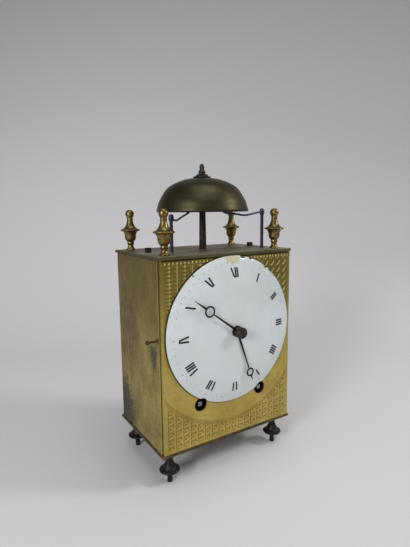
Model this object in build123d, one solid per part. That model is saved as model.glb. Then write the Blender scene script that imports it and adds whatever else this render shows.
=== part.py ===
from build123d import *
import os
from math import atan2, cos, degrees, hypot, pi, radians, sin, sqrt

# A small spring-driven lantern clock: a brass case on four turned feet, an enamel dial,
# a bell on a post with two hammers under it, and a movement between two plates.
#
# Frame of this file: millimetres, +Z up, the dial faces -Y, +X is to the right of the dial.
# Heights in the case are counted from the upper face of the bottom plate, and depths (Y)
# from the middle of the case. The last lines move every piece to the part's own frame,
# whose origin is on the floor under the middle of the whole clock.

# ---------------------------------------------------------------- case
CASE_WIDTH = 130.0            # over the outer faces of the two side doors
CASE_DEPTH = 85.0             # front of the front plate to the back of the rear door
CASE_HEIGHT = 153.0           # between the bottom plate and the top plate
PLATE_THICKNESS = 2.4         # bottom plate and top plate
PLATE_OVERHANG = 0.5          # how far both plates stand out past the case
FRONT_PLATE_INSET = 0.8       # side edge of the front plate, inside the doors' outer faces
FRONT_PLATE_THICKNESS = 1.5
CORNER_INSET_X = 10.7         # axes of feet, corner pillars and finials, from the plates' edges
CORNER_INSET_Y = 10.6
CORNER_PILLAR_SIDE = 6.0
CORNER_STUD_RADIUS = 1.6      # screwed ends of feet and finials
CORNER_STUD_LENGTH = 9.0
STUD_HOLE_END = 1.0           # hole past the end of a stud
STUD_CLEARANCE = 0.05         # radial, a stud or other fixed pin in its hole
CONTACT_GAP = 0.3             # between faces that pass each other

# ---------------------------------------------------------------- feet and finials
FOOT_HEIGHT = 27.0
FOOT_DISC_RADIUS = 8.5
FOOT_DISC_HEIGHT = 10.8       # middle of the disc above the floor
FOOT_DISC_EDGE = 0.8          # half the thickness of the disc's edge
FOOT_DISC_BELLY = 0.65        # share of the disc's radius at the bend of its underside
FOOT_PAD_HEIGHT = 8.0
FOOT_PAD_RADIUS = 2.1
FOOT_STEM_RADIUS = 2.6
FOOT_CONE_RADIUS = 3.9        # hollow cone above the disc, half-way up
FINIAL_HEIGHT = 35.2
FINIAL_FOOT_RADIUS = 3.9
FINIAL_FOOT_EDGE = 0.7
FINIAL_NECK_RADIUS = 2.4
FINIAL_NECK_HEIGHT = 4.6
FINIAL_BEAD_RADIUS = 3.1      # bead between the neck and the cup
FINIAL_CUP_HEIGHT = 7.6       # bottom of the cup
FINIAL_CUP_RADIUS = 4.9
FINIAL_FLANGE_RADIUS = 8.5
FINIAL_FLANGE_HEIGHT = 17.5
FINIAL_FLANGE_EDGE = 0.5      # half the thickness of the flange's edge
FINIAL_COLLAR_RADIUS = 2.8    # collar under the ball
FINIAL_COLLAR_HEIGHT = 25.8
FINIAL_BALL_RADIUS = 3.8
FINIAL_CUP_ROUNDING = (0.88, 0.15)     # bend of the cup's bottom, as shares of its radius and height
FINIAL_CUP_MIDDLE = 0.4       # share of the cup's height where it has its radius
FINIAL_CUP_FLARE = 1.2        # cup under the flange, over its radius
FINIAL_CONE_BEND = (1.5, 0.4)          # cone above the flange: over the neck's radius, share of its height

# ---------------------------------------------------------------- doors
DOOR_THICKNESS = 1.2
DOOR_GAP = 0.3                # above and below a door
DOOR_FRONT_GAP = 0.9          # between a side door and the front plate
HINGE_ROD_RADIUS = 0.9
HINGE_FIT = 0.05              # radial clearance of a knuckle on its rod
KNUCKLE_RADIUS = 1.7
HINGE_INSET = 3.6             # rod axis of a side door, forward of the case's back
REAR_DOOR_INSET = 5.5         # side edges of the rear door, inside the case's sides
KNOB_HEIGHT = 0.6 * CASE_HEIGHT             # knob axis above the bottom plate
KNOB_EDGE = 2.3               # knob axis from the free edge of its door
RIGHT_KNOB_EDGE = 12.0        # the right door's knob stands further in
KNOB_REACH = 10.0             # from the door to the end of the knob
KNOB_RADIUS = 1.7
KNOB_FLANGE_RADIUS = 1.6
KNOB_FLANGE_THICKNESS = 0.6   # its edge; its bevel is as high again
KNOB_STEM_RADIUS = 0.8

# ---------------------------------------------------------------- dial and hands
DIAL_RADIUS = 61.0
DIAL_HEIGHT = 0.6 * CASE_HEIGHT             # dial centre above the bottom plate
DIAL_EDGE = 1.6               # thickness at the rim
DIAL_RISE = 6.2               # how far the middle stands out past the rim
DIAL_WALL = 1.5
DIAL_CURVE = 3.4              # power of the dome's outline: flat in the middle, steep at the rim
DIAL_HOLLOW_INSET = 3.0       # flat rim around the hollow of the dial's back
DIAL_HOLE_RADIUS = 4.6
DIAL_FOOT_RADIUS = 1.1
DIAL_FOOT_CIRCLE = 50.0
DIAL_FOOT_REACH = 2.5         # foot past the back of the front plate
HAND_THICKNESS = 0.6
HAND_GAP = 0.5                # dial to hour hand, hour hand to minute hand
MINUTE_HAND_LENGTH = 50.6
MINUTE_RING_CENTRE = 33.6
MINUTE_RING_RADIUS = 4.6
HOUR_HAND_LENGTH = 47.1
HOUR_RING_CENTRE = 39.5
HOUR_RING_RADIUS = 3.7
HAND_RING_WIDTH = 0.9
HAND_ROOT_WIDTH = 2.3         # arm at the eye
HAND_ARM_WIDTH = 1.1          # arm at the ring
HAND_TIP_WIDTH = 0.4
HAND_EYE_WIDTH = 1.4          # ring of an eye around its hole
MINUTE_HAND_ANGLE = 306.7     # clockwise from twelve
HOUR_HAND_ANGLE = 160.3
COLLET_RADIUS = 4.65
COLLET_REACH = 16.5           # front of the collet, forward of the front plate
COLLET_CAP = 1.0              # closed end of the collet
COLLET_BEVEL = 0.5

# ---------------------------------------------------------------- bell
BELL_RADIUS = 40.5
BELL_HEIGHT = 29.3
BELL_WALL = 2.2
BELL_RIM_HEIGHT = 32.6        # rim above the top plate
BELL_SEAT_GAP = 0.05          # post's shoulder to the bell's curved underside
BELL_POST_FOOT_RADIUS = 3.25
BELL_POST_TIP_RADIUS = 2.4
BELL_STUD_RADIUS = 1.6
BELL_POST_STUD_RADIUS = 2.0
BELL_WASHER_RADIUS = 8.0
BELL_WASHER_HEIGHT = 2.0
BELL_WASHER_EDGE = 0.5
BELL_NUT_HEIGHT = 10.0
BELL_NUT_RADIUS = 5.1
BELL_NUT_EDGE = 0.6
BELL_NUT_WAIST = (2.6, 1.5)   # the nut's turnings: radius, height above its foot
BELL_NUT_BELLY = (3.3, 2.7)
BELL_NUT_SHOULDER = (2.5, 4.2)
BELL_NUT_NECK = (1.9, 4.9)
BELL_NUT_POINT = (0.9, 0.4)   # radius, depth below the tip
BELL_NUT_POINT_HEIGHT = 1.5

# ---------------------------------------------------------------- hammers
HAMMER_ROD_RADIUS = 1.45
HAMMER_HEAD_RADIUS = 2.2      # knob on top of the arbor
HAMMER_HEAD_HEIGHT = 6.0
HAMMER_HEAD_ROUNDING = 0.6    # knob's ends, inside its radius
HAMMER_WIRE_RADIUS = 0.85
HAMMER_BALL_RADIUS = 3.0      # the striking end
HAMMER_BALL_RISE = 5.0        # its middle above the bell's rim
HAMMER_BELL_GAP = 0.9
HAMMER_BEARING_GAP = 0.06     # radial, arbor in the top plate
HAMMER_SEAT = 0.2             # shoulder of an arbor above its lower bearing
STRIKE_ROD = (-36.5, -10.0)   # (x, y) of the arbor
STRIKE_ROD_TOP = 31.0         # above the top plate
STRIKE_BALL_ANGLE = 222.6     # where the ball meets the bell, counter-clockwise from +X
STRIKE_WIRE = ((4.5, 25.9), (9.0, 28.6), (12.6, 30.6))        # (run from the arbor, height)
ALARM_ROD = (51.5, -19.5)
ALARM_ROD_TOP = 35.4
ALARM_BALL_ANGLE = 260.2
ALARM_WIRE = ((15.0, 30.3), (25.0, 29.4), (36.5, 30.5), (49.0, 31.7))
BRACKET_THICKNESS = 2.0
BRACKET_MARGIN = 2.0          # bracket past the arbor, to each side
BRACKET_FLANGE = 10.0
BRACKET_SCREW_RISE = 7.0      # screw above the flange's foot
BRACKET_RISE = 9.0            # lower bearings above the pin wheel's arbor
HAMMER_SPRING_THICKNESS = 0.5
HAMMER_SPRING_WIDTH = 4.0

# ---------------------------------------------------------------- movement frame
MOTION_ROOM = 13.5            # face of the case's front plate to the movement
PENDULUM_ROOM = 19.5          # movement to the back of the rear door
MOVEMENT_PLATE_THICKNESS = 2.0
MOVEMENT_SIDE_ROOM = 6.0      # movement plates to the doors' outer faces
UPPER_PILLAR_X = 25.0
UPPER_PILLAR_SIDE = 7.0
LOWER_PILLAR_INSET = 4.0      # lower pillars from the sides of the movement plates
LOWER_PILLAR_HEIGHT = 6.0
LOWER_PILLAR_RADIUS = 3.0
PILLAR_TENON_RADIUS = 1.8
HANGER_NUT_INSET = 12.4       # nuts from the sides of the top plate
HANGER_BAR_WIDTH = 8.0
HANGER_BAR_HEIGHT = 7.0
HANGER_STUD_RADIUS = 1.2
HANGER_NUT_SIDE = 4.0
HANGER_NUT_HEIGHT = 3.8
PIVOT_RADIUS = 0.6
PIVOT_FIT = 0.05              # radial clearance of a pivot in its plate, or a wheel on its stud
END_SHAKE = 0.3               # along an arbor, between its shoulder and the plate
SCREW_RADIUS = 1.0
SCREW_HEAD_RADIUS = 2.0
SCREW_HEAD_HEIGHT = 1.4

# ---------------------------------------------------------------- barrels and winding
BARREL_X = 30.4
BARREL_HEIGHT = 0.223 * CASE_HEIGHT
BARREL_RADIUS = 22.0
BARREL_WALL = 1.2
BARREL_END = 1.5              # thickness of the barrel's front wall
BARREL_SET = 3.0              # barrel behind the movement's front plate
GREAT_WHEEL_SET = 33.0
GREAT_WHEEL_THICKNESS = 3.0
SPRING_THICKNESS = 0.9
SPRING_TURNS = 6
SPRING_INSET = 1.0            # spring edge to the barrel's end walls
WINDING_ARBOR_RADIUS = 3.0
WINDING_CORE_RADIUS = 6.0
WINDING_PIVOT_RADIUS = 2.5
WINDING_SQUARE = 3.6
WINDING_SQUARE_END = 1.2      # end of the square, behind the face of the front plate
WINDING_COLLAR = 2.0          # round part between the ratchet and the square
WINDING_HOLE_RADIUS = 5.7
RATCHET_TEETH = 24
RATCHET_RADIUS = 8.0
RATCHET_DEPTH = 1.2
RATCHET_THICKNESS = 2.0
CLICK_LENGTH = 12.0
CLICK_ANGLE = 105.0           # direction of the click's nose from the ratchet's axis
CLICK_TILT = 15.0             # arm, outward of the ratchet's tangent
CLICK_EYE_RADIUS = 2.6
CLICK_SCREW_RADIUS = 1.5
CLICK_SPRING_THICKNESS = 0.4
CLICK_ARM_HALF_WIDTH = 2.0
CLICK_NOSE_WIDTH = 1.8
CLICK_NOSE_SLOPE = 1.0        # the nose's back corner, short of its tip
CLICK_SPRING_GAP = 0.6        # eye to spring; the arm is narrower and can lift
CLICK_SPRING_LENGTH = 10.0
CLICK_SPRING_REACH = 4.5      # leaf past the eye's middle, towards the nose
CLICK_SPRING_FOOT = 3.0

# ---------------------------------------------------------------- wheels
ADDENDUM_WHEEL = 0.7          # these three are shares of the module
ADDENDUM_PINION = 0.5
DEDENDUM = 1.15
TOOTH_TIP = 0.16              # these three are shares of the tooth pitch
TOOTH_WHEEL = 0.36
TOOTH_PINION = 0.32
WHEEL_THICKNESS = 1.5
PINION_LENGTH = 4.5
ARBOR_RADIUS = 1.2            # heavy arbors and fixed studs
CENTRE_ARBOR_RADIUS = 1.8
FINE_ARBOR_RADIUS = 0.9       # arbors with six-leaf pinions
WHEEL_RIM = 2.6               # rim under the teeth
WHEEL_HUB = 3.0
WHEEL_ARM = 2.4

GREAT_TEETH, GREAT_MODULE = 84, 0.7
SECOND_PINION = 12
INTERMEDIATE_TEETH, INTERMEDIATE_MODULE = 84, 0.7
CENTRE_PINION = 12
CENTRE_TEETH, CENTRE_MODULE = 84, 0.5
THIRD_PINION = 6
THIRD_TEETH, THIRD_MODULE = 78, 0.45
ESCAPE_PINION = 6
ESCAPE_TEETH = 30
ESCAPE_RADIUS = 11.0
ESCAPE_TOOTH_DEPTH = 2.6
ESCAPE_TOOTH_SLOPE = 4.6      # these three are degrees from the middle of a tooth's tip
ESCAPE_TOOTH_TIP = 0.4
ESCAPE_TOOTH_BACK = 1.4
ESCAPE_RIM = 1.8
ESCAPE_ARM = 1.6
PIN_TEETH, PIN_MODULE = 72, 0.5
WARNING_PINION = 6
WARNING_TEETH, WARNING_MODULE = 60, 0.45
FLY_PINION = 6
COUNT_PINION, COUNT_TEETH, COUNT_MODULE = 8, 90, 0.45
CANNON_TEETH, MINUTE_TEETH, MOTION_MODULE = 15, 45, 0.6
MINUTE_PINION, HOUR_TEETH = 12, 48

INTERMEDIATE_SET = 39.0       # front faces of the wheels, behind the movement's front plate
PIN_SET = 39.0
CENTRE_SET = 27.0
THIRD_SET = 19.0
WARNING_SET = 21.0
ESCAPE_SET = 42.5
ALARM_SET = 29.5
FLY_SET = 4.0
COUNT_SET = 1.0               # count wheel behind the back plate
CANNON_SET = 3.0              # cannon pinion's leaves in front of the movement
HOUR_SET = 6.5                # hour wheel in front of the movement
ESCAPE_RISE = 29.2            # escape wheel above the dial's centre
PIN_ANGLE = 102.0             # pin wheel from the strike barrel, counter-clockwise from +X
WARNING_ANGLE = 26.0          # warning wheel from the pin wheel
FLY_ANGLE = 112.0             # fly from the warning wheel
COUNT_ANGLE = -55.0           # count wheel from the pin wheel
MINUTE_WHEEL_ANGLE = 215.0    # minute wheel from the centre
LIFTING_PINS = 8
LIFTING_PIN_CIRCLE = 16.0
LIFTING_PIN_RADIUS = 0.9
LIFTING_PIN_LENGTH = 5.0
FLY_RADIUS = 8.5
FLY_WIDTH = 9.0
FLY_THICKNESS = 0.6
FLY_SLEEVE_RADIUS = 2.0
COUNT_RING_DROP = 4.0         # notched ring, inside the count wheel's pitch circle
COUNT_RING_WIDTH = 1.6
COUNT_RING_HEIGHT = 1.6
COUNT_NOTCH = 1.6
ALARM_WHEEL = (46.0, DIAL_HEIGHT)           # (x, height)
ALARM_WHEEL_RADIUS = 9.0
ALARM_PIN_CIRCLE = 7.9
ALARM_DRUM_RADIUS = 7.5
ALARM_DRUM_LENGTH = 9.0
ALARM_PINS = 10
TAIL_THICKNESS = 1.6
TAIL_GAP = 0.4                # between a hammer's tail and what turns below it
FINGER_GAP = 1.2              # from the pin wheel's back face, as the finger swings about its rod

# ---------------------------------------------------------------- motion work and levers
MOTION_WHEEL_THICKNESS = 1.2
CANNON_LEAF_LENGTH = 1.8
CENTRE_SHAFT_RADIUS = 1.2
CANNON_RADIUS = 2.2
HOUR_PIPE_RADIUS = 3.3
HOUR_WHEEL_HUB = 0.7          # hub outside the pipe
STUD_HEAD_RADIUS = 2.0
STUD_HEAD_HEIGHT = 1.0
STUD_COLLAR_RADIUS = 2.2
LEVER_THICKNESS = 1.2
LEVER_WIDTH = 2.4
LEVER_EYE_RADIUS = 3.0
LIFTING_LEVER_ANGLE = 170.0   # lever's stud from the minute wheel
LIFTING_LEVER_REACH = 27.0
WARNING_PIN_CIRCLE = 9.0      # the pin of the minute wheel that lifts the lever
WARNING_PIN_RADIUS = 0.7
WARNING_PIN_LENGTH = 2.0
LOCKING_LEVER_ANGLE = 150.0   # lever's stud from the count wheel
LOCKING_LEVER_REACH = 34.0

# ---------------------------------------------------------------- escapement and pendulum
PALLET_SPAN = 7.5             # tooth pitches between the two pallets
PALLET_THICKNESS = 1.6
PALLET_HUB_RADIUS = 2.6
PALLET_TIP_INNER = 0.5        # degrees about the escape wheel, from the pallet's line
PALLET_TIP_OUTER = 1.5
PALLET_TIP_SLOPE = 0.1        # rise of the impulse face from its inner to its outer edge
PALLET_ELBOW_OUTER = 9.0
PALLET_ELBOW_INNER = 2.0
PALLET_NECK = 0.7             # share of the hub's radius
PALLET_ARM_DEPTH = 4.0        # arm's outer elbow outside the wheel
PALLET_ELBOW_DEPTH = 2.4      # inner elbow outside the wheel
PALLET_GAP = 0.15             # pallets to the circle of the wheel's tips, at mid swing
PENDULUM_SET = 8.0            # plane of the rod, behind the back plate
PENDULUM_LENGTH = 108.0       # pallet arbor to the middle of the bob
PENDULUM_ROD_RADIUS = 1.0
PENDULUM_EYE_RADIUS = 3.2
PENDULUM_EYE_LENGTH = 4.0
PENDULUM_TAIL = 20.0          # rod below the middle of the bob
BOB_RADIUS = 11.0
BOB_THICKNESS = 6.0
BOB_EDGE = 1.0
BOB_BORE_FIT = 0.06
RATING_NUT_RADIUS = 4.0
RATING_NUT_HEIGHT = 2.5
COCK_STAND = 3.0              # cock's bar off the back plate
COCK_THICKNESS = 2.0
COCK_WIDTH = 44.0
COCK_HEIGHT = 8.0
COCK_FOOT_WIDTH = 8.0

# ---------------------------------------------------------------- sizes that follow
CASE_BASE = FOOT_HEIGHT + PLATE_THICKNESS          # floor to the upper face of the bottom plate
TOP_FACE = CASE_HEIGHT + PLATE_THICKNESS           # bottom plate to the top plate's upper face
FRONT_Y = -CASE_DEPTH / 2
BACK_Y = CASE_DEPTH / 2
FRONT_PLATE_BACK = FRONT_Y + FRONT_PLATE_THICKNESS
PLATE_WIDTH = CASE_WIDTH + 2 * PLATE_OVERHANG
PLATE_DEPTH = CASE_DEPTH + 2 * PLATE_OVERHANG
CORNER_X = PLATE_WIDTH / 2 - CORNER_INSET_X
CORNER_Y = PLATE_DEPTH / 2 - CORNER_INSET_Y
CORNERS = [(x, y) for y in (-CORNER_Y, CORNER_Y) for x in (-CORNER_X, CORNER_X)]
ROW_SHIFT_Y = (COLLET_REACH - KNOB_REACH) / 2      # centres the whole clock front to back
HINGE_Y = BACK_Y - HINGE_INSET
SIDE_HINGE_X = CASE_WIDTH / 2 - KNUCKLE_RADIUS
REAR_HINGE_X = CASE_WIDTH / 2 - REAR_DOOR_INSET
REAR_HINGE_Y = BACK_Y - KNUCKLE_RADIUS
HINGES = [(-SIDE_HINGE_X, HINGE_Y), (SIDE_HINGE_X, HINGE_Y), (REAR_HINGE_X, REAR_HINGE_Y)]
HANGER_NUT_X = PLATE_WIDTH / 2 - HANGER_NUT_INSET

MOVEMENT_FRONT_Y = FRONT_Y + MOTION_ROOM           # front face of the movement's front plate
MOVEMENT_BACK_Y = BACK_Y - PENDULUM_ROOM           # back face of its back plate
MOVEMENT_PLATE_WIDTH = CASE_WIDTH - 2 * MOVEMENT_SIDE_ROOM
MOVEMENT_PLATE_HEIGHT = CASE_HEIGHT - HANGER_BAR_HEIGHT
INNER_FRONT_Y = MOVEMENT_FRONT_Y + MOVEMENT_PLATE_THICKNESS
INNER_BACK_Y = MOVEMENT_BACK_Y - MOVEMENT_PLATE_THICKNESS
BARREL_FRONT_Y = INNER_FRONT_Y + BARREL_SET
GREAT_WHEEL_Y = INNER_FRONT_Y + GREAT_WHEEL_SET
INTERMEDIATE_Y = INNER_FRONT_Y + INTERMEDIATE_SET
PIN_Y = INNER_FRONT_Y + PIN_SET
CENTRE_Y = INNER_FRONT_Y + CENTRE_SET
THIRD_Y = INNER_FRONT_Y + THIRD_SET
WARNING_Y = INNER_FRONT_Y + WARNING_SET
ESCAPE_Y = INNER_FRONT_Y + ESCAPE_SET
ALARM_Y = INNER_FRONT_Y + ALARM_SET
FLY_Y = INNER_FRONT_Y + FLY_SET
COUNT_Y = MOVEMENT_BACK_Y + COUNT_SET
CANNON_Y = MOVEMENT_FRONT_Y - CANNON_SET
HOUR_Y = MOVEMENT_FRONT_Y - HOUR_SET
RATCHET_Y = MOVEMENT_FRONT_Y - END_SHAKE           # back face of ratchets and clicks
PENDULUM_Y = MOVEMENT_BACK_Y + PENDULUM_SET
COCK_Y = MOVEMENT_BACK_Y + COCK_STAND

DIAL_RIM_Y = FRONT_Y - DIAL_EDGE
DIAL_CROWN_Y = DIAL_RIM_Y - DIAL_RISE
HOUR_HAND_Y = DIAL_CROWN_Y - HAND_GAP              # back face of the hour hand
MINUTE_HAND_Y = HOUR_HAND_Y - HAND_THICKNESS - HAND_GAP
COLLET_BACK_Y = MINUTE_HAND_Y - HAND_THICKNESS
COLLET_FRONT_Y = FRONT_Y - COLLET_REACH
CENTRE_SHAFT_END_Y = COLLET_FRONT_Y + COLLET_CAP + STUD_CLEARANCE


def polar(radius, angle, centre=(0.0, 0.0)):
    """A point of the dial's plane, as (x, height), at an angle counter-clockwise from +X."""
    return centre[0] + radius * cos(radians(angle)), centre[1] + radius * sin(radians(angle))


def direction(start, end):
    """The angle of the line from one point of the dial's plane to another."""
    return degrees(atan2(end[1] - start[1], end[0] - start[0]))


def pitch_radius(teeth, module):
    return teeth * module / 2


def centre_distance(wheel, pinion, module):
    return pitch_radius(wheel, module) + pitch_radius(pinion, module)


def meeting_point(start, start_reach, end, end_reach):
    """The third corner of a triangle of known sides, to the right of the line from start to end."""
    base = hypot(end[0] - start[0], end[1] - start[1])
    along = (start_reach ** 2 - end_reach ** 2 + base ** 2) / (2 * base)
    off = sqrt(start_reach ** 2 - along ** 2)
    ux, uz = (end[0] - start[0]) / base, (end[1] - start[1]) / base
    return start[0] + along * ux + off * uz, start[1] + along * uz - off * ux


# ---------------------------------------------------------------- places of the arbors, as (x, height)
CENTRE = (0.0, DIAL_HEIGHT)
GOING_BARREL = (BARREL_X, BARREL_HEIGHT)
STRIKE_BARREL = (-BARREL_X, BARREL_HEIGHT)
GREAT_REACH = centre_distance(GREAT_TEETH, SECOND_PINION, GREAT_MODULE)
INTERMEDIATE_REACH = centre_distance(INTERMEDIATE_TEETH, CENTRE_PINION, INTERMEDIATE_MODULE)
CENTRE_REACH = centre_distance(CENTRE_TEETH, THIRD_PINION, CENTRE_MODULE)
THIRD_REACH = centre_distance(THIRD_TEETH, ESCAPE_PINION, THIRD_MODULE)
PIN_REACH = centre_distance(PIN_TEETH, WARNING_PINION, PIN_MODULE)
WARNING_REACH = centre_distance(WARNING_TEETH, FLY_PINION, WARNING_MODULE)
COUNT_REACH = centre_distance(COUNT_TEETH, COUNT_PINION, COUNT_MODULE)
MOTION_REACH = centre_distance(MINUTE_TEETH, CANNON_TEETH, MOTION_MODULE)
PALLET_HALF_SPAN = PALLET_SPAN / 2 * 360 / ESCAPE_TEETH
ESCAPE = (0.0, DIAL_HEIGHT + ESCAPE_RISE)
PALLET = (0.0, ESCAPE[1] + ESCAPE_RADIUS / cos(radians(PALLET_HALF_SPAN)))
INTERMEDIATE = meeting_point(GOING_BARREL, GREAT_REACH, CENTRE, INTERMEDIATE_REACH)
THIRD = meeting_point(CENTRE, CENTRE_REACH, ESCAPE, THIRD_REACH)
PIN_WHEEL = polar(GREAT_REACH, PIN_ANGLE, STRIKE_BARREL)
WARNING = polar(PIN_REACH, WARNING_ANGLE, PIN_WHEEL)
FLY = polar(WARNING_REACH, FLY_ANGLE, WARNING)
COUNT = polar(COUNT_REACH, COUNT_ANGLE, PIN_WHEEL)
MINUTE_WHEEL = polar(MOTION_REACH, MINUTE_WHEEL_ANGLE, CENTRE)
LIFTING_LEVER = polar(LIFTING_LEVER_REACH, LIFTING_LEVER_ANGLE, MINUTE_WHEEL)
LOCKING_LEVER = polar(LOCKING_LEVER_REACH, LOCKING_LEVER_ANGLE, COUNT)
DIAL_FEET = [polar(DIAL_FOOT_CIRCLE, angle, CENTRE) for angle in (90, 210, 330)]
BRACKET_HEIGHT = PIN_WHEEL[1] + BRACKET_RISE
SCREWED_COCK = [(side * (COCK_WIDTH - COCK_FOOT_WIDTH) / 2, PALLET[1]) for side in (-1, 1)]
SCREWED_BRACKETS = [(x, BRACKET_HEIGHT + BRACKET_SCREW_RISE) for x, y in (STRIKE_ROD, ALARM_ROD)]


# ---------------------------------------------------------------- making tools
def facing(point, back_y, turn=0.0):
    """A plane whose normal points out of the dial; its x is turned counter-clockwise from +X."""
    x_dir = (cos(radians(turn)), 0, sin(radians(turn)))
    return Plane(origin=(point[0], back_y, point[1]), x_dir=x_dir, z_dir=(0, -1, 0))


def rod(point, back_y, front_y, radius):
    """A round rod along Y from back_y to front_y."""
    return extrude(facing(point, back_y) * Circle(radius), back_y - front_y)


def column(x, y, low, high, radius):
    """A round rod along Z."""
    return extrude(Plane.XY.offset(low) * Pos(x, y) * Circle(radius), high - low)


def block(low, high):
    """A box between two opposite corners."""
    return Pos(*[(a + b) / 2 for a, b in zip(low, high)]) * Box(*[b - a for a, b in zip(low, high)])


def upright(x_span, y_span, low, high):
    """A box given by its spans along X and Y and by its lower and upper heights."""
    return block((min(x_span), min(y_span), low), (max(x_span), max(y_span), high))


def upright_point(point):
    """A (radius, height) point in the XZ plane."""
    return point[0], 0, point[1]


def lathe(start, *stretches):
    """Turn an outline about Z. A stretch is the next (radius, height), or a pair of points for an arc
    that passes through the first and ends at the second. The ends of the outline lie on the axis."""
    edges, here = [], start
    for stretch in stretches:
        if isinstance(stretch[0], tuple):
            through, end = stretch
            edges.append(ThreePointArc(upright_point(here), upright_point(through), upright_point(end)))
        else:
            end = stretch
            edges.append(Line(upright_point(here), upright_point(end)))
        here = end
    edges.append(Line(upright_point(here), upright_point(start)))
    return revolve(Face(Wire(edges)), Axis.Z)


def ball_end(ball, neck, top):
    """The stretches that end a turned outline in a ball, from its neck to its pole on the axis."""
    middle = top - ball
    return (neck, middle - sqrt(ball ** 2 - neck ** 2)), ((ball, middle), (0, top))


def toothed_outline(teeth, module, addendum, tooth_width, phase):
    """A wheel's face with straight-flanked teeth, one of them centred on the phase angle."""
    pitch_r = pitch_radius(teeth, module)
    tip_r, root_r = pitch_r + addendum * module, pitch_r - DEDENDUM * module
    pitch = 2 * pi / teeth
    half_pitch = tooth_width * pitch / 2 * pitch_r
    half_tip = TOOTH_TIP * pitch / 2 * tip_r
    half_root = half_pitch + (half_pitch - half_tip) / (tip_r - pitch_r) * (pitch_r - root_r)
    half_root = min(half_root, 0.45 * pitch * root_r)
    corners = ((root_r, -half_root), (tip_r, -half_tip), (tip_r, half_tip), (root_r, half_root))
    points = []
    for tooth in range(teeth):
        middle = radians(phase) + tooth * pitch
        points += [(r * cos(middle + half / r), r * sin(middle + half / r)) for r, half in corners]
    return make_face(Polyline(*points, close=True))


def wheel_outline(teeth, module, phase):
    return toothed_outline(teeth, module, ADDENDUM_WHEEL, TOOTH_WHEEL, phase)


def pinion_outline(teeth, module, phase):
    return toothed_outline(teeth, module, ADDENDUM_PINION, TOOTH_PINION, phase)


def crossings(teeth, module):
    """The four openings between a wheel's rim, hub and arms."""
    outer = pitch_radius(teeth, module) - DEDENDUM * module - WHEEL_RIM
    span = 2 * (outer + WHEEL_RIM)
    return Circle(outer) - Circle(WHEEL_HUB) - Rectangle(span, WHEEL_ARM) - Rectangle(WHEEL_ARM, span)


def crossed_wheel(point, front_y, teeth, module, phase=0.0, thickness=WHEEL_THICKNESS):
    """A brass wheel with four arms; its front face is at front_y."""
    face = wheel_outline(teeth, module, phase) - crossings(teeth, module)
    return extrude(facing(point, front_y + thickness) * face, thickness)


def pinion(point, wheel_y, teeth, module, phase, wheel_thickness=WHEEL_THICKNESS):
    """Leaves that run past both faces of the wheel they mesh with, whose front face is at wheel_y."""
    back = wheel_y + (wheel_thickness + PINION_LENGTH) / 2
    return extrude(facing(point, back) * pinion_outline(teeth, module, phase), PINION_LENGTH)


def second_pinion(point, phase):
    """The pinion that a great wheel drives."""
    return pinion(point, GREAT_WHEEL_Y, SECOND_PINION, GREAT_MODULE, phase, GREAT_WHEEL_THICKNESS)


def meshing_phase(from_point, to_point, from_phase, from_teeth, to_teeth):
    """Phase of the second wheel that puts its gap on a tooth of the first, on the line of centres."""
    line = direction(from_point, to_point)
    share = ((line - from_phase) / (360 / from_teeth)) % 1
    return line + 180 - (0.5 - share) * 360 / to_teeth


def arbor(point, radius=FINE_ARBOR_RADIUS):
    """An arbor between the plates, with a thinner pivot at each end that fills its plate."""
    body = rod(point, INNER_BACK_Y - END_SHAKE, INNER_FRONT_Y + END_SHAKE, radius)
    return body + rod(point, MOVEMENT_BACK_Y, MOVEMENT_FRONT_Y, PIVOT_RADIUS)


def headed_stud(point, base_y, head_y, collar_y=None):
    """A fixed stud riveted in a plate at base_y, with a head past head_y that keeps a wheel or lever on."""
    way = 1 if head_y > base_y else -1
    near, far = head_y + way * CONTACT_GAP, head_y + way * (CONTACT_GAP + STUD_HEAD_HEIGHT)
    stud = rod(point, max(base_y, near), min(base_y, near), ARBOR_RADIUS)
    stud += rod(point, max(near, far), min(near, far), STUD_HEAD_RADIUS)
    if collar_y is not None:
        face_y = base_y + way * MOVEMENT_PLATE_THICKNESS
        stud += rod(point, max(face_y, collar_y), min(face_y, collar_y), STUD_COLLAR_RADIUS)
    return stud


# ---------------------------------------------------------------- phases of the meshed wheels
SECOND_PHASE = meshing_phase(GOING_BARREL, INTERMEDIATE, 0.0, GREAT_TEETH, SECOND_PINION)
CENTRE_PINION_PHASE = meshing_phase(INTERMEDIATE, CENTRE, 0.0, INTERMEDIATE_TEETH, CENTRE_PINION)
THIRD_PINION_PHASE = meshing_phase(CENTRE, THIRD, 0.0, CENTRE_TEETH, THIRD_PINION)
ESCAPE_PINION_PHASE = meshing_phase(THIRD, ESCAPE, 0.0, THIRD_TEETH, ESCAPE_PINION)
PIN_PINION_PHASE = meshing_phase(STRIKE_BARREL, PIN_WHEEL, 0.0, GREAT_TEETH, SECOND_PINION)
WARNING_PINION_PHASE = meshing_phase(PIN_WHEEL, WARNING, 0.0, PIN_TEETH, WARNING_PINION)
FLY_PINION_PHASE = meshing_phase(WARNING, FLY, 0.0, WARNING_TEETH, FLY_PINION)
COUNT_PHASE = meshing_phase(PIN_WHEEL, COUNT, 0.0, COUNT_PINION, COUNT_TEETH)
MINUTE_PHASE = meshing_phase(CENTRE, MINUTE_WHEEL, 0.0, CANNON_TEETH, MINUTE_TEETH)
HOUR_PHASE = meshing_phase(MINUTE_WHEEL, CENTRE, 0.0, MINUTE_PINION, HOUR_TEETH)


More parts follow.
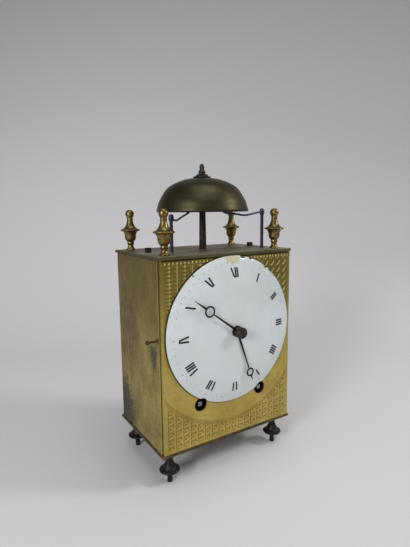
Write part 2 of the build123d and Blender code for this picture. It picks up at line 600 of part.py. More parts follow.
# ---------------------------------------------------------------- case pieces
def case_plate(low):
    """The sheet shared by the bottom and top plates, with holes for corner studs and hinge rods."""
    half_x, half_y = PLATE_WIDTH / 2, PLATE_DEPTH / 2
    plate = upright((-half_x, half_x), (-half_y, half_y), low, low + PLATE_THICKNESS)
    for x, y in CORNERS:
        plate -= column(x, y, low, low + PLATE_THICKNESS, CORNER_STUD_RADIUS + STUD_CLEARANCE)
    for x, y in HINGES:
        plate -= column(x, y, low, low + PLATE_THICKNESS, HINGE_ROD_RADIUS + STUD_CLEARANCE)
    return plate


def top_plate():
    """The top plate also lets through the hammers, the hanger's studs and the bell post's screw."""
    plate = case_plate(CASE_HEIGHT)
    for x, y in (STRIKE_ROD, ALARM_ROD):
        plate -= column(x, y, CASE_HEIGHT, TOP_FACE, HAMMER_ROD_RADIUS + HAMMER_BEARING_GAP)
    for x in (-HANGER_NUT_X, HANGER_NUT_X):
        plate -= column(x, 0, CASE_HEIGHT, TOP_FACE, HANGER_STUD_RADIUS + STUD_CLEARANCE)
    return plate - column(0, 0, CASE_HEIGHT, TOP_FACE, BELL_POST_STUD_RADIUS + STUD_CLEARANCE)


def front_plate():
    half = CASE_WIDTH / 2 - FRONT_PLATE_INSET
    plate = upright((-half, half), (FRONT_Y, FRONT_PLATE_BACK), 0, CASE_HEIGHT)
    for barrel_point in (GOING_BARREL, STRIKE_BARREL):
        plate -= rod(barrel_point, FRONT_PLATE_BACK, FRONT_Y, WINDING_HOLE_RADIUS)
    for point in DIAL_FEET:
        plate -= rod(point, FRONT_PLATE_BACK, FRONT_Y, DIAL_FOOT_RADIUS + STUD_CLEARANCE)
    return plate - rod(CENTRE, FRONT_PLATE_BACK, FRONT_Y, DIAL_HOLE_RADIUS)


def corner_pillars():
    """Four square pillars between the plates, drilled at both ends for the corner studs."""
    pillars, half = [], CORNER_PILLAR_SIDE / 2
    depth = CORNER_STUD_LENGTH - PLATE_THICKNESS + STUD_HOLE_END
    for x, y in CORNERS:
        pillar = upright((x - half, x + half), (y - half, y + half), 0, CASE_HEIGHT)
        for low in (0, CASE_HEIGHT - depth):
            pillar -= column(x, y, low, low + depth, CORNER_STUD_RADIUS + STUD_CLEARANCE)
        pillars.append(pillar)
    return pillars


def feet():
    """Four turned iron feet; their screws go up through the bottom plate into the pillars."""
    pad, stem, cone = FOOT_PAD_RADIUS, FOOT_STEM_RADIUS, FOOT_CONE_RADIUS
    disc, middle, edge = FOOT_DISC_RADIUS, FOOT_DISC_HEIGHT, FOOT_DISC_EDGE
    rim = disc - edge / 2
    cone_height = (FOOT_HEIGHT - middle) / 3
    stud, top = CORNER_STUD_RADIUS, FOOT_HEIGHT + CORNER_STUD_LENGTH
    foot = lathe((0, 0), (pad, 0), (pad, FOOT_PAD_HEIGHT),
                 ((disc * FOOT_DISC_BELLY, FOOT_PAD_HEIGHT + edge), (rim, middle - edge)),
                 ((disc, middle), (rim, middle + edge)),
                 ((cone, middle + cone_height), (stem, middle + 2 * cone_height)),
                 (stem, FOOT_HEIGHT), (stud, FOOT_HEIGHT), (stud, top), (0, top))
    return [Pos(x, y, -CASE_BASE) * foot for x, y in CORNERS]


def finials():
    """Four urn-shaped brass finials on the top plate, with their screws down into the pillars."""
    base, neck, stud = FINIAL_FOOT_RADIUS, FINIAL_NECK_RADIUS, CORNER_STUD_RADIUS
    bead, cup, collar = FINIAL_BEAD_RADIUS, FINIAL_CUP_RADIUS, FINIAL_COLLAR_RADIUS
    flange, ring, edge = FINIAL_FLANGE_RADIUS, FINIAL_FLANGE_HEIGHT, FINIAL_FLANGE_EDGE
    low, neck_at = FINIAL_FOOT_EDGE, FINIAL_NECK_HEIGHT
    cup_at, collar_at = FINIAL_CUP_HEIGHT, FINIAL_COLLAR_HEIGHT
    cup_middle, cup_top = cup_at + FINIAL_CUP_MIDDLE * (ring - cup_at), ring - 3 * edge
    flare, (rounding, rounded_at) = FINIAL_CUP_FLARE * cup, FINIAL_CUP_ROUNDING
    cone_foot, collar_top = ring + 3 * edge, collar_at + 2 * edge
    cone_bend, bend_at = FINIAL_CONE_BEND
    finial = lathe((0, -CORNER_STUD_LENGTH), (stud, -CORNER_STUD_LENGTH), (stud, 0), (base, 0), (base, low),
                   ((neck + (base - neck) / 5, (low + neck_at) / 2), (neck, neck_at)),
                   ((bead, (neck_at + cup_at) / 2), (neck + edge, cup_at)),
                   ((rounding * cup, cup_at + rounded_at * (ring - cup_at)), (cup, cup_middle)),
                   ((cup + (flare - cup) / 5, (cup_middle + cup_top) / 2), (flare, cup_top)),
                   (flange, ring - edge), (flange, ring + edge), (flare, cone_foot),
                   ((cone_bend * neck, cone_foot + bend_at * (collar_at - cone_foot)), (neck, collar_at)),
                   ((collar, collar_at + edge), (neck, collar_top)),
                   *ball_end(FINIAL_BALL_RADIUS, neck, FINIAL_HEIGHT))
    return [Pos(x, y, TOP_FACE) * finial for x, y in CORNERS]


# ---------------------------------------------------------------- dial
def dome_height(radius, edge_radius, rise):
    """Height of the dial's dome at a radius: it falls by a power of the radius, to nothing at the edge."""
    return rise * (1 - (radius / edge_radius) ** DIAL_CURVE)


def dome(edge_radius, rise, base):
    """A solid dome on a cylinder of height base; its outline follows dome_height()."""
    shares = (1.0, 0.94, 0.84, 0.66, 0.38, 0.0)
    points = [(share * edge_radius, 0, base + dome_height(share, 1.0, rise)) for share in shares]
    edges = [Spline(*points, tangents=((-1, 0, rise * DIAL_CURVE / edge_radius), (-1, 0, 0)))]
    edges += [Line(points[-1], (0, 0, 0)), Line((0, 0, 0), (edge_radius, 0, 0))]
    if base > 0:
        edges.append(Line((edge_radius, 0, 0), points[0]))
    return revolve(Face(Wire(edges)), Axis.Z)


def dial():
    """A domed disc of enamelled copper with notches for the winding keys and three feet at the back."""
    hollow_rise = DIAL_EDGE + DIAL_RISE - DIAL_WALL
    shell = dome(DIAL_RADIUS, DIAL_RISE, DIAL_EDGE) - dome(DIAL_RADIUS - DIAL_HOLLOW_INSET, hollow_rise, 0)
    disc = facing(CENTRE, FRONT_Y).location * shell
    for barrel_point in (GOING_BARREL, STRIKE_BARREL):
        disc -= rod(barrel_point, FRONT_Y, DIAL_CROWN_Y, WINDING_HOLE_RADIUS)
    disc -= rod(CENTRE, FRONT_Y, DIAL_CROWN_Y - CONTACT_GAP, DIAL_HOLE_RADIUS)
    wall_middle = DIAL_EDGE + dome_height(DIAL_FOOT_CIRCLE, DIAL_RADIUS, DIAL_RISE) - DIAL_WALL / 2
    for point in DIAL_FEET:
        disc += rod(point, FRONT_PLATE_BACK + DIAL_FOOT_REACH, FRONT_Y - wall_middle, DIAL_FOOT_RADIUS)
    return disc


# ---------------------------------------------------------------- doors
SIDE_DOOR_FRONT_Y = FRONT_PLATE_BACK + DOOR_FRONT_GAP
SIDE_KNOB_Y = {-1: SIDE_DOOR_FRONT_Y + KNOB_EDGE, 1: SIDE_DOOR_FRONT_Y + RIGHT_KNOB_EDGE}
REAR_KNOB_X = KNOB_EDGE - REAR_HINGE_X


def hinged_sheet(sheet, x, y, knob_plane):
    """A door: its sheet, the rolled edge around its rod, and the hole for its knob."""
    door = sheet + column(x, y, DOOR_GAP, CASE_HEIGHT - DOOR_GAP, KNUCKLE_RADIUS)
    door -= column(x, y, 0, CASE_HEIGHT, HINGE_ROD_RADIUS + HINGE_FIT)
    return door - extrude(knob_plane * Circle(KNOB_STEM_RADIUS + STUD_CLEARANCE), -DOOR_THICKNESS)


def side_knob_plane(side):
    return Plane(origin=(side * CASE_WIDTH / 2, SIDE_KNOB_Y[side], KNOB_HEIGHT), z_dir=(side, 0, 0))


def rear_knob_plane():
    return Plane(origin=(REAR_KNOB_X, BACK_Y, KNOB_HEIGHT), z_dir=(0, 1, 0))


def side_door(side):
    """A sheet brass door; side is -1 for the left and +1 for the right."""
    outer = side * CASE_WIDTH / 2
    inner = outer - side * DOOR_THICKNESS
    sheet = upright((outer, inner), (SIDE_DOOR_FRONT_Y, HINGE_Y), DOOR_GAP, CASE_HEIGHT - DOOR_GAP)
    return hinged_sheet(sheet, side * SIDE_HINGE_X, HINGE_Y, side_knob_plane(side))


def rear_door():
    y_span = (BACK_Y - DOOR_THICKNESS, BACK_Y)
    sheet = upright((-REAR_HINGE_X, REAR_HINGE_X), y_span, DOOR_GAP, CASE_HEIGHT - DOOR_GAP)
    return hinged_sheet(sheet, REAR_HINGE_X, REAR_HINGE_Y, rear_knob_plane())


def knob():
    """A turned ball knob along +Z; the door's outer face is at 0 and the stem fills the door."""
    stem, flange = KNOB_STEM_RADIUS, KNOB_FLANGE_RADIUS
    return lathe((0, -DOOR_THICKNESS), (stem, -DOOR_THICKNESS), (stem, 0), (flange, 0),
                 (flange, KNOB_FLANGE_THICKNESS), (stem, 2 * KNOB_FLANGE_THICKNESS),
                 *ball_end(KNOB_RADIUS, stem, KNOB_REACH))


def hinge_rods():
    """Three iron rods held in the bottom and top plates."""
    return [column(x, y, -PLATE_THICKNESS, TOP_FACE, HINGE_ROD_RADIUS) for x, y in HINGES]


# ---------------------------------------------------------------- bell
BELL_BASE = TOP_FACE + BELL_RIM_HEIGHT
BELL_TOP = BELL_BASE + BELL_HEIGHT


def bell_outline(inset):
    """Points (radius, height above the rim) of the bell's wall, moved inwards by the inset."""
    rim, high = BELL_RADIUS - inset, BELL_HEIGHT - inset
    return [(rim, 0), (rim * 0.973, high * 0.14), (rim * 0.917, high * 0.36), (rim * 0.755, high * 0.69),
            (rim * 0.525, high * 0.875), (rim * 0.28, high * 0.97), (0, high)]


def bell_body(inset):
    points = [(radius, 0, height) for radius, height in bell_outline(inset)]
    edges = [Spline(*points, tangents=((-0.12, 0, 1), (-1, 0, 0)))]
    edges += [Line(points[-1], (0, 0, 0)), Line((0, 0, 0), points[0])]
    return Pos(0, 0, BELL_BASE) * revolve(Face(Wire(edges)), Axis.Z)


def bell():
    shell = bell_body(0) - bell_body(BELL_WALL)
    return shell - column(0, 0, BELL_BASE, BELL_TOP, BELL_STUD_RADIUS + STUD_CLEARANCE)


def bell_post():
    """A tapered iron post, screwed down into the hanger bar and shouldered under the bell."""
    shoulder = BELL_RIM_HEIGHT + BELL_HEIGHT - BELL_WALL - BELL_SEAT_GAP
    stud_top = BELL_RIM_HEIGHT + BELL_HEIGHT + BELL_WASHER_HEIGHT + BELL_NUT_HEIGHT / 2
    root, lower, stud = PLATE_THICKNESS + HANGER_BAR_HEIGHT, BELL_POST_STUD_RADIUS, BELL_STUD_RADIUS
    post = lathe((0, -root), (lower, -root), (lower, 0), (BELL_POST_FOOT_RADIUS, 0),
                 (BELL_POST_TIP_RADIUS, shoulder), (stud, shoulder), (stud, stud_top), (0, stud_top))
    return Pos(0, 0, TOP_FACE) * post


def bell_washer():
    wide, high = BELL_WASHER_RADIUS, BELL_WASHER_HEIGHT
    cone = lathe((0, 0), (wide, 0), (wide, BELL_WASHER_EDGE), (BELL_NUT_RADIUS, high), (0, high))
    return Pos(0, 0, BELL_TOP) * (cone - Cylinder(BELL_STUD_RADIUS + STUD_CLEARANCE, 4 * high))


def bell_nut():
    """A turned nut with a knobbed finial, bored from below for the post's screw."""
    top, wide = BELL_NUT_HEIGHT, BELL_NUT_RADIUS
    neck, (point, depth) = BELL_NUT_NECK, BELL_NUT_POINT
    turned = lathe((0, 0), (wide, 0), (wide, BELL_NUT_EDGE), BELL_NUT_WAIST,
                   (BELL_NUT_BELLY, BELL_NUT_SHOULDER), neck,
                   ((neck[0], top - BELL_NUT_POINT_HEIGHT), (point, top - depth)), (0, top))
    base = BELL_TOP + BELL_WASHER_HEIGHT
    bore = column(0, 0, base, base + top / 2 + STUD_CLEARANCE, BELL_STUD_RADIUS + STUD_CLEARANCE)
    return Pos(0, 0, base) * turned - bore


# ---------------------------------------------------------------- hammers
def bell_inner_radius(height):
    """Inside radius of the bell at a height above its rim, between the outline's points."""
    points = bell_outline(BELL_WALL)
    for (low_r, low), (high_r, high) in zip(points, points[1:]):
        if low <= height <= high:
            return low_r + (high_r - low_r) * (height - low) / (high - low)
    return 0.0


def hammer(place, rod_top, ball_angle, wire_points, tail):
    """A vertical arbor with a knobbed top, a wire and ball under the bell, and a tail in the case."""
    x, y = place
    reach = bell_inner_radius(HAMMER_BALL_RISE + HAMMER_BALL_RADIUS) - HAMMER_BALL_RADIUS - HAMMER_BELL_GAP
    ball_x, ball_y = reach * cos(radians(ball_angle)), reach * sin(radians(ball_angle))
    run = hypot(ball_x - x, ball_y - y)
    ux, uy = (ball_x - x) / run, (ball_y - y) / run
    head_middle = rod_top - HAMMER_HEAD_HEIGHT / 2
    stations = [(0.0, head_middle), *wire_points, (run, BELL_RIM_HEIGHT + HAMMER_BALL_RISE)]
    route = Spline(*[(x + ux * along, y + uy * along, TOP_FACE + height) for along, height in stations])
    wire = sweep(Plane(origin=route @ 0, z_dir=route % 0) * Circle(HAMMER_WIRE_RADIUS), path=route)
    half, wide = HAMMER_HEAD_HEIGHT / 2, HAMMER_HEAD_RADIUS
    narrow = wide - HAMMER_HEAD_ROUNDING
    head = lathe((0, -half), (narrow, -half), ((wide, 0), (narrow, half - HAMMER_HEAD_ROUNDING)), (0, half))
    arbor_rod = column(x, y, BRACKET_HEIGHT + HAMMER_SEAT, TOP_FACE + head_middle, HAMMER_ROD_RADIUS)
    pivot = column(x, y, BRACKET_HEIGHT - BRACKET_THICKNESS, BRACKET_HEIGHT + HAMMER_SEAT, PIVOT_RADIUS)
    ball = Plane(origin=route @ 1, x_dir=(ux, uy, 0), z_dir=(0, 0, 1)).location * Sphere(HAMMER_BALL_RADIUS)
    return arbor_rod + pivot + Pos(x, y, TOP_FACE + head_middle) * head + wire + ball + tail


def tail_bar(place, back_y, low):
    """A flat tail that runs back from a hammer's arbor."""
    x, y = place
    return upright((x - HAMMER_ROD_RADIUS, x + HAMMER_ROD_RADIUS), (y, back_y), low, low + TAIL_THICKNESS)


def strike_hammer():
    """Its tail passes over the pin wheel and has a finger that hangs down to the lifting pins."""
    wheel_top = PIN_WHEEL[1] + pitch_radius(PIN_TEETH, PIN_MODULE) + ADDENDUM_WHEEL * PIN_MODULE
    pins_top = PIN_WHEEL[1] + LIFTING_PIN_CIRCLE + LIFTING_PIN_RADIUS
    low = wheel_top + TAIL_GAP
    front_y = PIN_Y + WHEEL_THICKNESS + FINGER_GAP
    back_y = PIN_Y + WHEEL_THICKNESS + LIFTING_PIN_LENGTH
    x_span = (STRIKE_ROD[0] - HAMMER_ROD_RADIUS, STRIKE_ROD[0] + HAMMER_ROD_RADIUS)
    tail = tail_bar(STRIKE_ROD, back_y, low) + upright(x_span, (front_y, back_y), pins_top + TAIL_GAP, low)
    return hammer(STRIKE_ROD, STRIKE_ROD_TOP, STRIKE_BALL_ANGLE, STRIKE_WIRE, tail)


def alarm_hammer():
    low = ALARM_WHEEL[1] + ALARM_WHEEL_RADIUS + TAIL_GAP
    tail = tail_bar(ALARM_ROD, ALARM_Y + WHEEL_THICKNESS + LIFTING_PIN_LENGTH, low)
    return hammer(ALARM_ROD, ALARM_ROD_TOP, ALARM_BALL_ANGLE, ALARM_WIRE, tail)


def hammer_brackets():
    """Two cocks on the movement's front plate that carry the lower pivots of the hammers."""
    brackets, half = [], HAMMER_ROD_RADIUS + BRACKET_MARGIN
    low, flange_y = BRACKET_HEIGHT - BRACKET_THICKNESS, INNER_FRONT_Y + BRACKET_THICKNESS
    for (x, y), fixing in zip((STRIKE_ROD, ALARM_ROD), SCREWED_BRACKETS):
        bracket = upright((x - half, x + half), (INNER_FRONT_Y, y + half), low, BRACKET_HEIGHT)
        bracket += upright((x - half, x + half), (INNER_FRONT_Y, flange_y), low, low + BRACKET_FLANGE)
        bracket -= column(x, y, low, BRACKET_HEIGHT, PIVOT_RADIUS + PIVOT_FIT)
        brackets.append(bracket - rod(fixing, flange_y, INNER_FRONT_Y, SCREW_RADIUS + STUD_CLEARANCE))
    return brackets


def hammer_springs():
    """Two leaf springs riveted to the brackets, each beside its hammer's arbor."""
    springs, thick = [], HAMMER_SPRING_THICKNESS
    base_y = INNER_FRONT_Y + BRACKET_THICKNESS
    low = BRACKET_HEIGHT + CONTACT_GAP
    high = low + HAMMER_SPRING_WIDTH
    for x, y in (STRIKE_ROD, ALARM_ROD):
        near = x + HAMMER_ROD_RADIUS + CONTACT_GAP
        edge = x + HAMMER_ROD_RADIUS + BRACKET_MARGIN
        leaf = upright((near, near + thick), (base_y, y + HAMMER_ROD_RADIUS), low, high)
        springs.append(leaf + upright((near, edge), (base_y, base_y + thick), low, high))
    return springs


# ---------------------------------------------------------------- movement frame
LOWER_PILLAR_X = MOVEMENT_PLATE_WIDTH / 2 - LOWER_PILLAR_INSET
UPPER_PILLARS = [(side * UPPER_PILLAR_X, MOVEMENT_PLATE_HEIGHT - UPPER_PILLAR_SIDE / 2) for side in (-1, 1)]
LOWER_PILLARS = [(side * LOWER_PILLAR_X, LOWER_PILLAR_HEIGHT) for side in (-1, 1)]
TRAIN_PIVOTS = (INTERMEDIATE, THIRD, ESCAPE, WARNING, FLY, ALARM_WHEEL)


def movement_plate(front_y, holes):
    """A movement plate with holes of the given (point, radius), and those that both plates share."""
    half, back_y = MOVEMENT_PLATE_WIDTH / 2, front_y + MOVEMENT_PLATE_THICKNESS
    plate = upright((-half, half), (front_y, back_y), 0, MOVEMENT_PLATE_HEIGHT)
    shared = [(point, PILLAR_TENON_RADIUS + STUD_CLEARANCE) for point in UPPER_PILLARS + LOWER_PILLARS]
    shared += [(point, PIVOT_RADIUS + PIVOT_FIT) for point in TRAIN_PIVOTS]
    shared += [(point, WINDING_PIVOT_RADIUS + PIVOT_FIT) for point in (GOING_BARREL, STRIKE_BARREL)]
    for point, radius in shared + holes:
        plate -= rod(point, back_y, front_y, radius)
    return plate


def movement_front_plate():
    holes = [(CENTRE, CENTRE_SHAFT_RADIUS + PIVOT_FIT)]
    holes += [(point, PIVOT_RADIUS + PIVOT_FIT) for point in (PIN_WHEEL, PALLET)]
    holes += [(point, ARBOR_RADIUS + STUD_CLEARANCE) for point in (MINUTE_WHEEL, LIFTING_LEVER)]
    holes += [(click_eye(point), CLICK_SCREW_RADIUS + PIVOT_FIT) for point in (GOING_BARREL, STRIKE_BARREL)]
    holes += [(point, SCREW_RADIUS + STUD_CLEARANCE) for point in SCREWED_BRACKETS]
    return movement_plate(MOVEMENT_FRONT_Y, holes)


def movement_back_plate():
    holes = [(CENTRE, PIVOT_RADIUS + PIVOT_FIT), (PIN_WHEEL, ARBOR_RADIUS + PIVOT_FIT)]
    holes += [(point, ARBOR_RADIUS + STUD_CLEARANCE) for point in (COUNT, LOCKING_LEVER)]
    holes += [(point, SCREW_RADIUS + STUD_CLEARANCE) for point in SCREWED_COCK]
    return movement_plate(INNER_BACK_Y, holes + [(PALLET, ARBOR_RADIUS + CONTACT_GAP)])


def movement_pillars():
    """Two square upper pillars, which the hanger bar rests on, and two round lower ones."""
    length, pillars = INNER_BACK_Y - INNER_FRONT_Y, []
    square = Rectangle(UPPER_PILLAR_SIDE, UPPER_PILLAR_SIDE)
    for section, points in ((square, UPPER_PILLARS), (Circle(LOWER_PILLAR_RADIUS), LOWER_PILLARS)):
        for point in points:
            body = extrude(facing(point, INNER_BACK_Y) * section, length)
            pillars.append(body + rod(point, MOVEMENT_BACK_Y, MOVEMENT_FRONT_Y, PILLAR_TENON_RADIUS))
    return pillars


def hanger_bar():
    """The iron bar that hangs the movement from the top plate and takes the bell post's screw."""
    reach, half = HANGER_NUT_X + HANGER_BAR_WIDTH / 2, HANGER_BAR_WIDTH / 2
    bar = upright((-reach, reach), (-half, half), MOVEMENT_PLATE_HEIGHT, CASE_HEIGHT)
    for x in (-HANGER_NUT_X, HANGER_NUT_X):
        bar += column(x, 0, CASE_HEIGHT, TOP_FACE + HANGER_NUT_HEIGHT, HANGER_STUD_RADIUS)
    return bar - column(0, 0, MOVEMENT_PLATE_HEIGHT, CASE_HEIGHT, BELL_POST_STUD_RADIUS + STUD_CLEARANCE)


def hanger_nuts():
    nuts, half, top = [], HANGER_NUT_SIDE / 2, TOP_FACE + HANGER_NUT_HEIGHT
    for x in (-HANGER_NUT_X, HANGER_NUT_X):
        nut = upright((x - half, x + half), (-half, half), TOP_FACE, top)
        nuts.append(nut - column(x, 0, TOP_FACE, top, HANGER_STUD_RADIUS + STUD_CLEARANCE))
    return nuts


def screw(point, head_y, tip_y):
    head = rod(point, head_y + SCREW_HEAD_HEIGHT, head_y, SCREW_HEAD_RADIUS)
    return head + rod(point, head_y, tip_y, SCREW_RADIUS)


def movement_screws():
    """Alike screws: two hold the hammers' brackets, and two hold the back cock."""
    bracket_face, cock_face = INNER_FRONT_Y + BRACKET_THICKNESS, COCK_Y + COCK_THICKNESS
    screws = [screw(point, bracket_face, MOVEMENT_FRONT_Y) for point in SCREWED_BRACKETS]
    return screws + [screw(point, cock_face, INNER_BACK_Y) for point in SCREWED_COCK]


def movement_studs():
    """Fixed studs: two in front for the minute wheel and lifting lever, two behind for the count wheel
    and locking lever."""
    lever_front, lever_back = LIFTING_LEVER_Y - LEVER_THICKNESS, LOCKING_LEVER_Y + LEVER_THICKNESS
    return [headed_stud(MINUTE_WHEEL, INNER_FRONT_Y, HOUR_Y - MOTION_WHEEL_THICKNESS, CANNON_Y),
            headed_stud(LIFTING_LEVER, INNER_FRONT_Y, lever_front, LIFTING_LEVER_Y + CONTACT_GAP),
            headed_stud(COUNT, INNER_BACK_Y, COUNT_Y + WHEEL_THICKNESS),
            headed_stud(LOCKING_LEVER, INNER_BACK_Y, lever_back, LOCKING_LEVER_Y - CONTACT_GAP)]


# ---------------------------------------------------------------- barrels
def barrel(point):
    """A spring drum whose back wall is the great wheel."""
    great_back = GREAT_WHEEL_Y + GREAT_WHEEL_THICKNESS
    drum = rod(point, GREAT_WHEEL_Y, BARREL_FRONT_Y, BARREL_RADIUS)
    drum -= rod(point, GREAT_WHEEL_Y, BARREL_FRONT_Y + BARREL_END, BARREL_RADIUS - BARREL_WALL)
    great_face = wheel_outline(GREAT_TEETH, GREAT_MODULE, 0.0)
    drum += extrude(facing(point, great_back) * great_face, GREAT_WHEEL_THICKNESS)
    return drum - rod(point, great_back, BARREL_FRONT_Y, WINDING_ARBOR_RADIUS + PIVOT_FIT)


SPRING_FRONT_Y = BARREL_FRONT_Y + BARREL_END + SPRING_INSET
SPRING_BACK_Y = GREAT_WHEEL_Y - SPRING_INSET


def mainspring(point):
    """A wound steel strip: half-turn arcs that step outwards from the arbor's core to the drum."""
    inner = WINDING_CORE_RADIUS + SPRING_THICKNESS
    outer = BARREL_RADIUS - BARREL_WALL - SPRING_THICKNESS
    step = (outer - inner) / (2 * SPRING_TURNS)
    arcs, start = [], (inner, 0.0)
    for half_turn in range(2 * SPRING_TURNS):
        side = 1 if half_turn % 2 == 0 else -1
        radius = inner + step * (half_turn + 0.5)
        end = (start[0] - 2 * side * radius, 0.0)
        arcs.append(ThreePointArc(start, (start[0] - side * radius, side * radius), end))
        start = end
    strip = facing(point, SPRING_BACK_Y) * trace(arcs, SPRING_THICKNESS)
    return extrude(strip, SPRING_BACK_Y - SPRING_FRONT_Y)


def ratchet_outline():
    """Saw teeth: each falls steeply from its tip and climbs back to the next."""
    points, pitch, low = [], 360 / RATCHET_TEETH, RATCHET_RADIUS - RATCHET_DEPTH
    for tooth in range(RATCHET_TEETH):
        points += [polar(RATCHET_RADIUS, tooth * pitch), polar(low, (tooth + 0.1) * pitch)]
    return make_face(Polyline(*points, close=True))


def winding_arbor(point):
    """The barrel's arbor, with its core in the spring, its ratchet and the key's square."""
    ratchet_front = RATCHET_Y - RATCHET_THICKNESS
    square_back = ratchet_front - WINDING_COLLAR
    barrel_back = GREAT_WHEEL_Y + GREAT_WHEEL_THICKNESS
    body = rod(point, barrel_back, INNER_FRONT_Y + END_SHAKE, WINDING_ARBOR_RADIUS)
    body += rod(point, MOVEMENT_BACK_Y, square_back, WINDING_PIVOT_RADIUS)
    body += rod(point, SPRING_BACK_Y, SPRING_FRONT_Y, WINDING_CORE_RADIUS)
    body += extrude(facing(point, RATCHET_Y) * ratchet_outline(), RATCHET_THICKNESS)
    square = facing(point, square_back) * Rectangle(WINDING_SQUARE, WINDING_SQUARE)
    return body + extrude(square, square_back - FRONT_Y - WINDING_SQUARE_END)


def outer_side(point):
    """+1 for the going side, right of the middle, and -1 for the strike side."""
    return 1 if point[0] > 0 else -1


def click_angles(point):
    """Where the nose meets the ratchet, and which way the arm runs from the nose to its eye."""
    side = outer_side(point)
    away = CLICK_ANGLE - 90 + CLICK_TILT
    return (CLICK_ANGLE, away) if side > 0 else (180 - CLICK_ANGLE, 180 - away)


def click_eye(point):
    nose_angle, away = click_angles(point)
    return polar(CLICK_LENGTH, away, polar(RATCHET_RADIUS + CONTACT_GAP, nose_angle, point))


def click(point):
    """A flat steel click: a round eye on its screw and an arm that ends at the ratchet."""
    eye, outward = click_eye(point), -outer_side(point)
    wide, back = CLICK_ARM_HALF_WIDTH, (CLICK_LENGTH - CLICK_NOSE_SLOPE, outward * CLICK_NOSE_WIDTH)
    arm = make_face(Polyline((0, -outward * wide), (CLICK_LENGTH, 0), back, (0, outward * wide), close=True))
    shape = extrude(facing(eye, RATCHET_Y, click_angles(point)[1] + 180) * arm, RATCHET_THICKNESS)
    shape += rod(eye, RATCHET_Y, RATCHET_Y - RATCHET_THICKNESS, CLICK_EYE_RADIUS)
    return shape + rod(eye, INNER_FRONT_Y, RATCHET_Y, CLICK_SCREW_RADIUS)


def click_springs():
    """Two leaf springs on the movement's front plate, each along the back of its click."""
    springs = []
    for point in (GOING_BARREL, STRIKE_BARREL):
        outward = -outer_side(point)
        near = CLICK_EYE_RADIUS + CLICK_SPRING_GAP
        far = near + CLICK_SPRING_THICKNESS
        frame = facing(click_eye(point), MOVEMENT_FRONT_Y, click_angles(point)[1] + 180)
        middle = CLICK_SPRING_REACH - CLICK_SPRING_LENGTH / 2
        end = CLICK_SPRING_REACH - CLICK_SPRING_LENGTH + CLICK_SPRING_FOOT / 2
        leaf = Pos(middle, outward * (near + far) / 2) * Rectangle(CLICK_SPRING_LENGTH, far - near)
        rise = near + CLICK_SPRING_FOOT / 2
        foot = Pos(end, outward * rise) * Rectangle(CLICK_SPRING_FOOT, CLICK_SPRING_FOOT)
        springs.append(extrude(frame * (leaf + foot), RATCHET_THICKNESS))
    return springs


# ---------------------------------------------------------------- trains
def intermediate_wheel():
    wheel = crossed_wheel(INTERMEDIATE, INTERMEDIATE_Y, INTERMEDIATE_TEETH, INTERMEDIATE_MODULE)
    return wheel + second_pinion(INTERMEDIATE, SECOND_PHASE) + arbor(INTERMEDIATE, ARBOR_RADIUS)


def centre_wheel():
    """The centre wheel's shaft runs out through the dial and carries the cannon pinion."""
    shaft = rod(CENTRE, INNER_BACK_Y - END_SHAKE, INNER_FRONT_Y + END_SHAKE, CENTRE_ARBOR_RADIUS)
    shaft += rod(CENTRE, MOVEMENT_BACK_Y, INNER_BACK_Y - END_SHAKE, PIVOT_RADIUS)
    shaft += rod(CENTRE, INNER_FRONT_Y + END_SHAKE, CENTRE_SHAFT_END_Y, CENTRE_SHAFT_RADIUS)
    leaves = pinion(CENTRE, INTERMEDIATE_Y, CENTRE_PINION, INTERMEDIATE_MODULE, CENTRE_PINION_PHASE)
    return crossed_wheel(CENTRE, CENTRE_Y, CENTRE_TEETH, CENTRE_MODULE) + shaft + leaves


def third_wheel():
    leaves = pinion(THIRD, CENTRE_Y, THIRD_PINION, CENTRE_MODULE, THIRD_PINION_PHASE)
    return crossed_wheel(THIRD, THIRD_Y, THIRD_TEETH, THIRD_MODULE) + leaves + arbor(THIRD)


def escape_wheel():
    """A recoil escape wheel. Its phase puts each pallet a quarter pitch from the nearest tooth."""
    points, pitch = [], 360 / ESCAPE_TEETH
    root, arm = ESCAPE_RADIUS - ESCAPE_TOOTH_DEPTH, ESCAPE_ARM
    slope, tip, back = ESCAPE_TOOTH_SLOPE, ESCAPE_TOOTH_TIP, ESCAPE_TOOTH_BACK
    first = 90 - PALLET_HALF_SPAN + pitch / 4
    for tooth in range(ESCAPE_TEETH):
        here = first + tooth * pitch
        points += [polar(root, here - slope), polar(ESCAPE_RADIUS, here - tip)]
        points += [polar(ESCAPE_RADIUS, here + tip), polar(root, here + back)]
    cross = Rectangle(2 * root, arm) + Rectangle(arm, 2 * root)
    opening = Circle(root - ESCAPE_RIM) - Circle(WHEEL_HUB) - cross
    rim = make_face(Polyline(*points, close=True)) - opening
    wheel = extrude(facing(ESCAPE, ESCAPE_Y + WHEEL_THICKNESS) * rim, WHEEL_THICKNESS)
    return wheel + arbor(ESCAPE) + pinion(ESCAPE, THIRD_Y, ESCAPE_PINION, THIRD_MODULE, ESCAPE_PINION_PHASE)


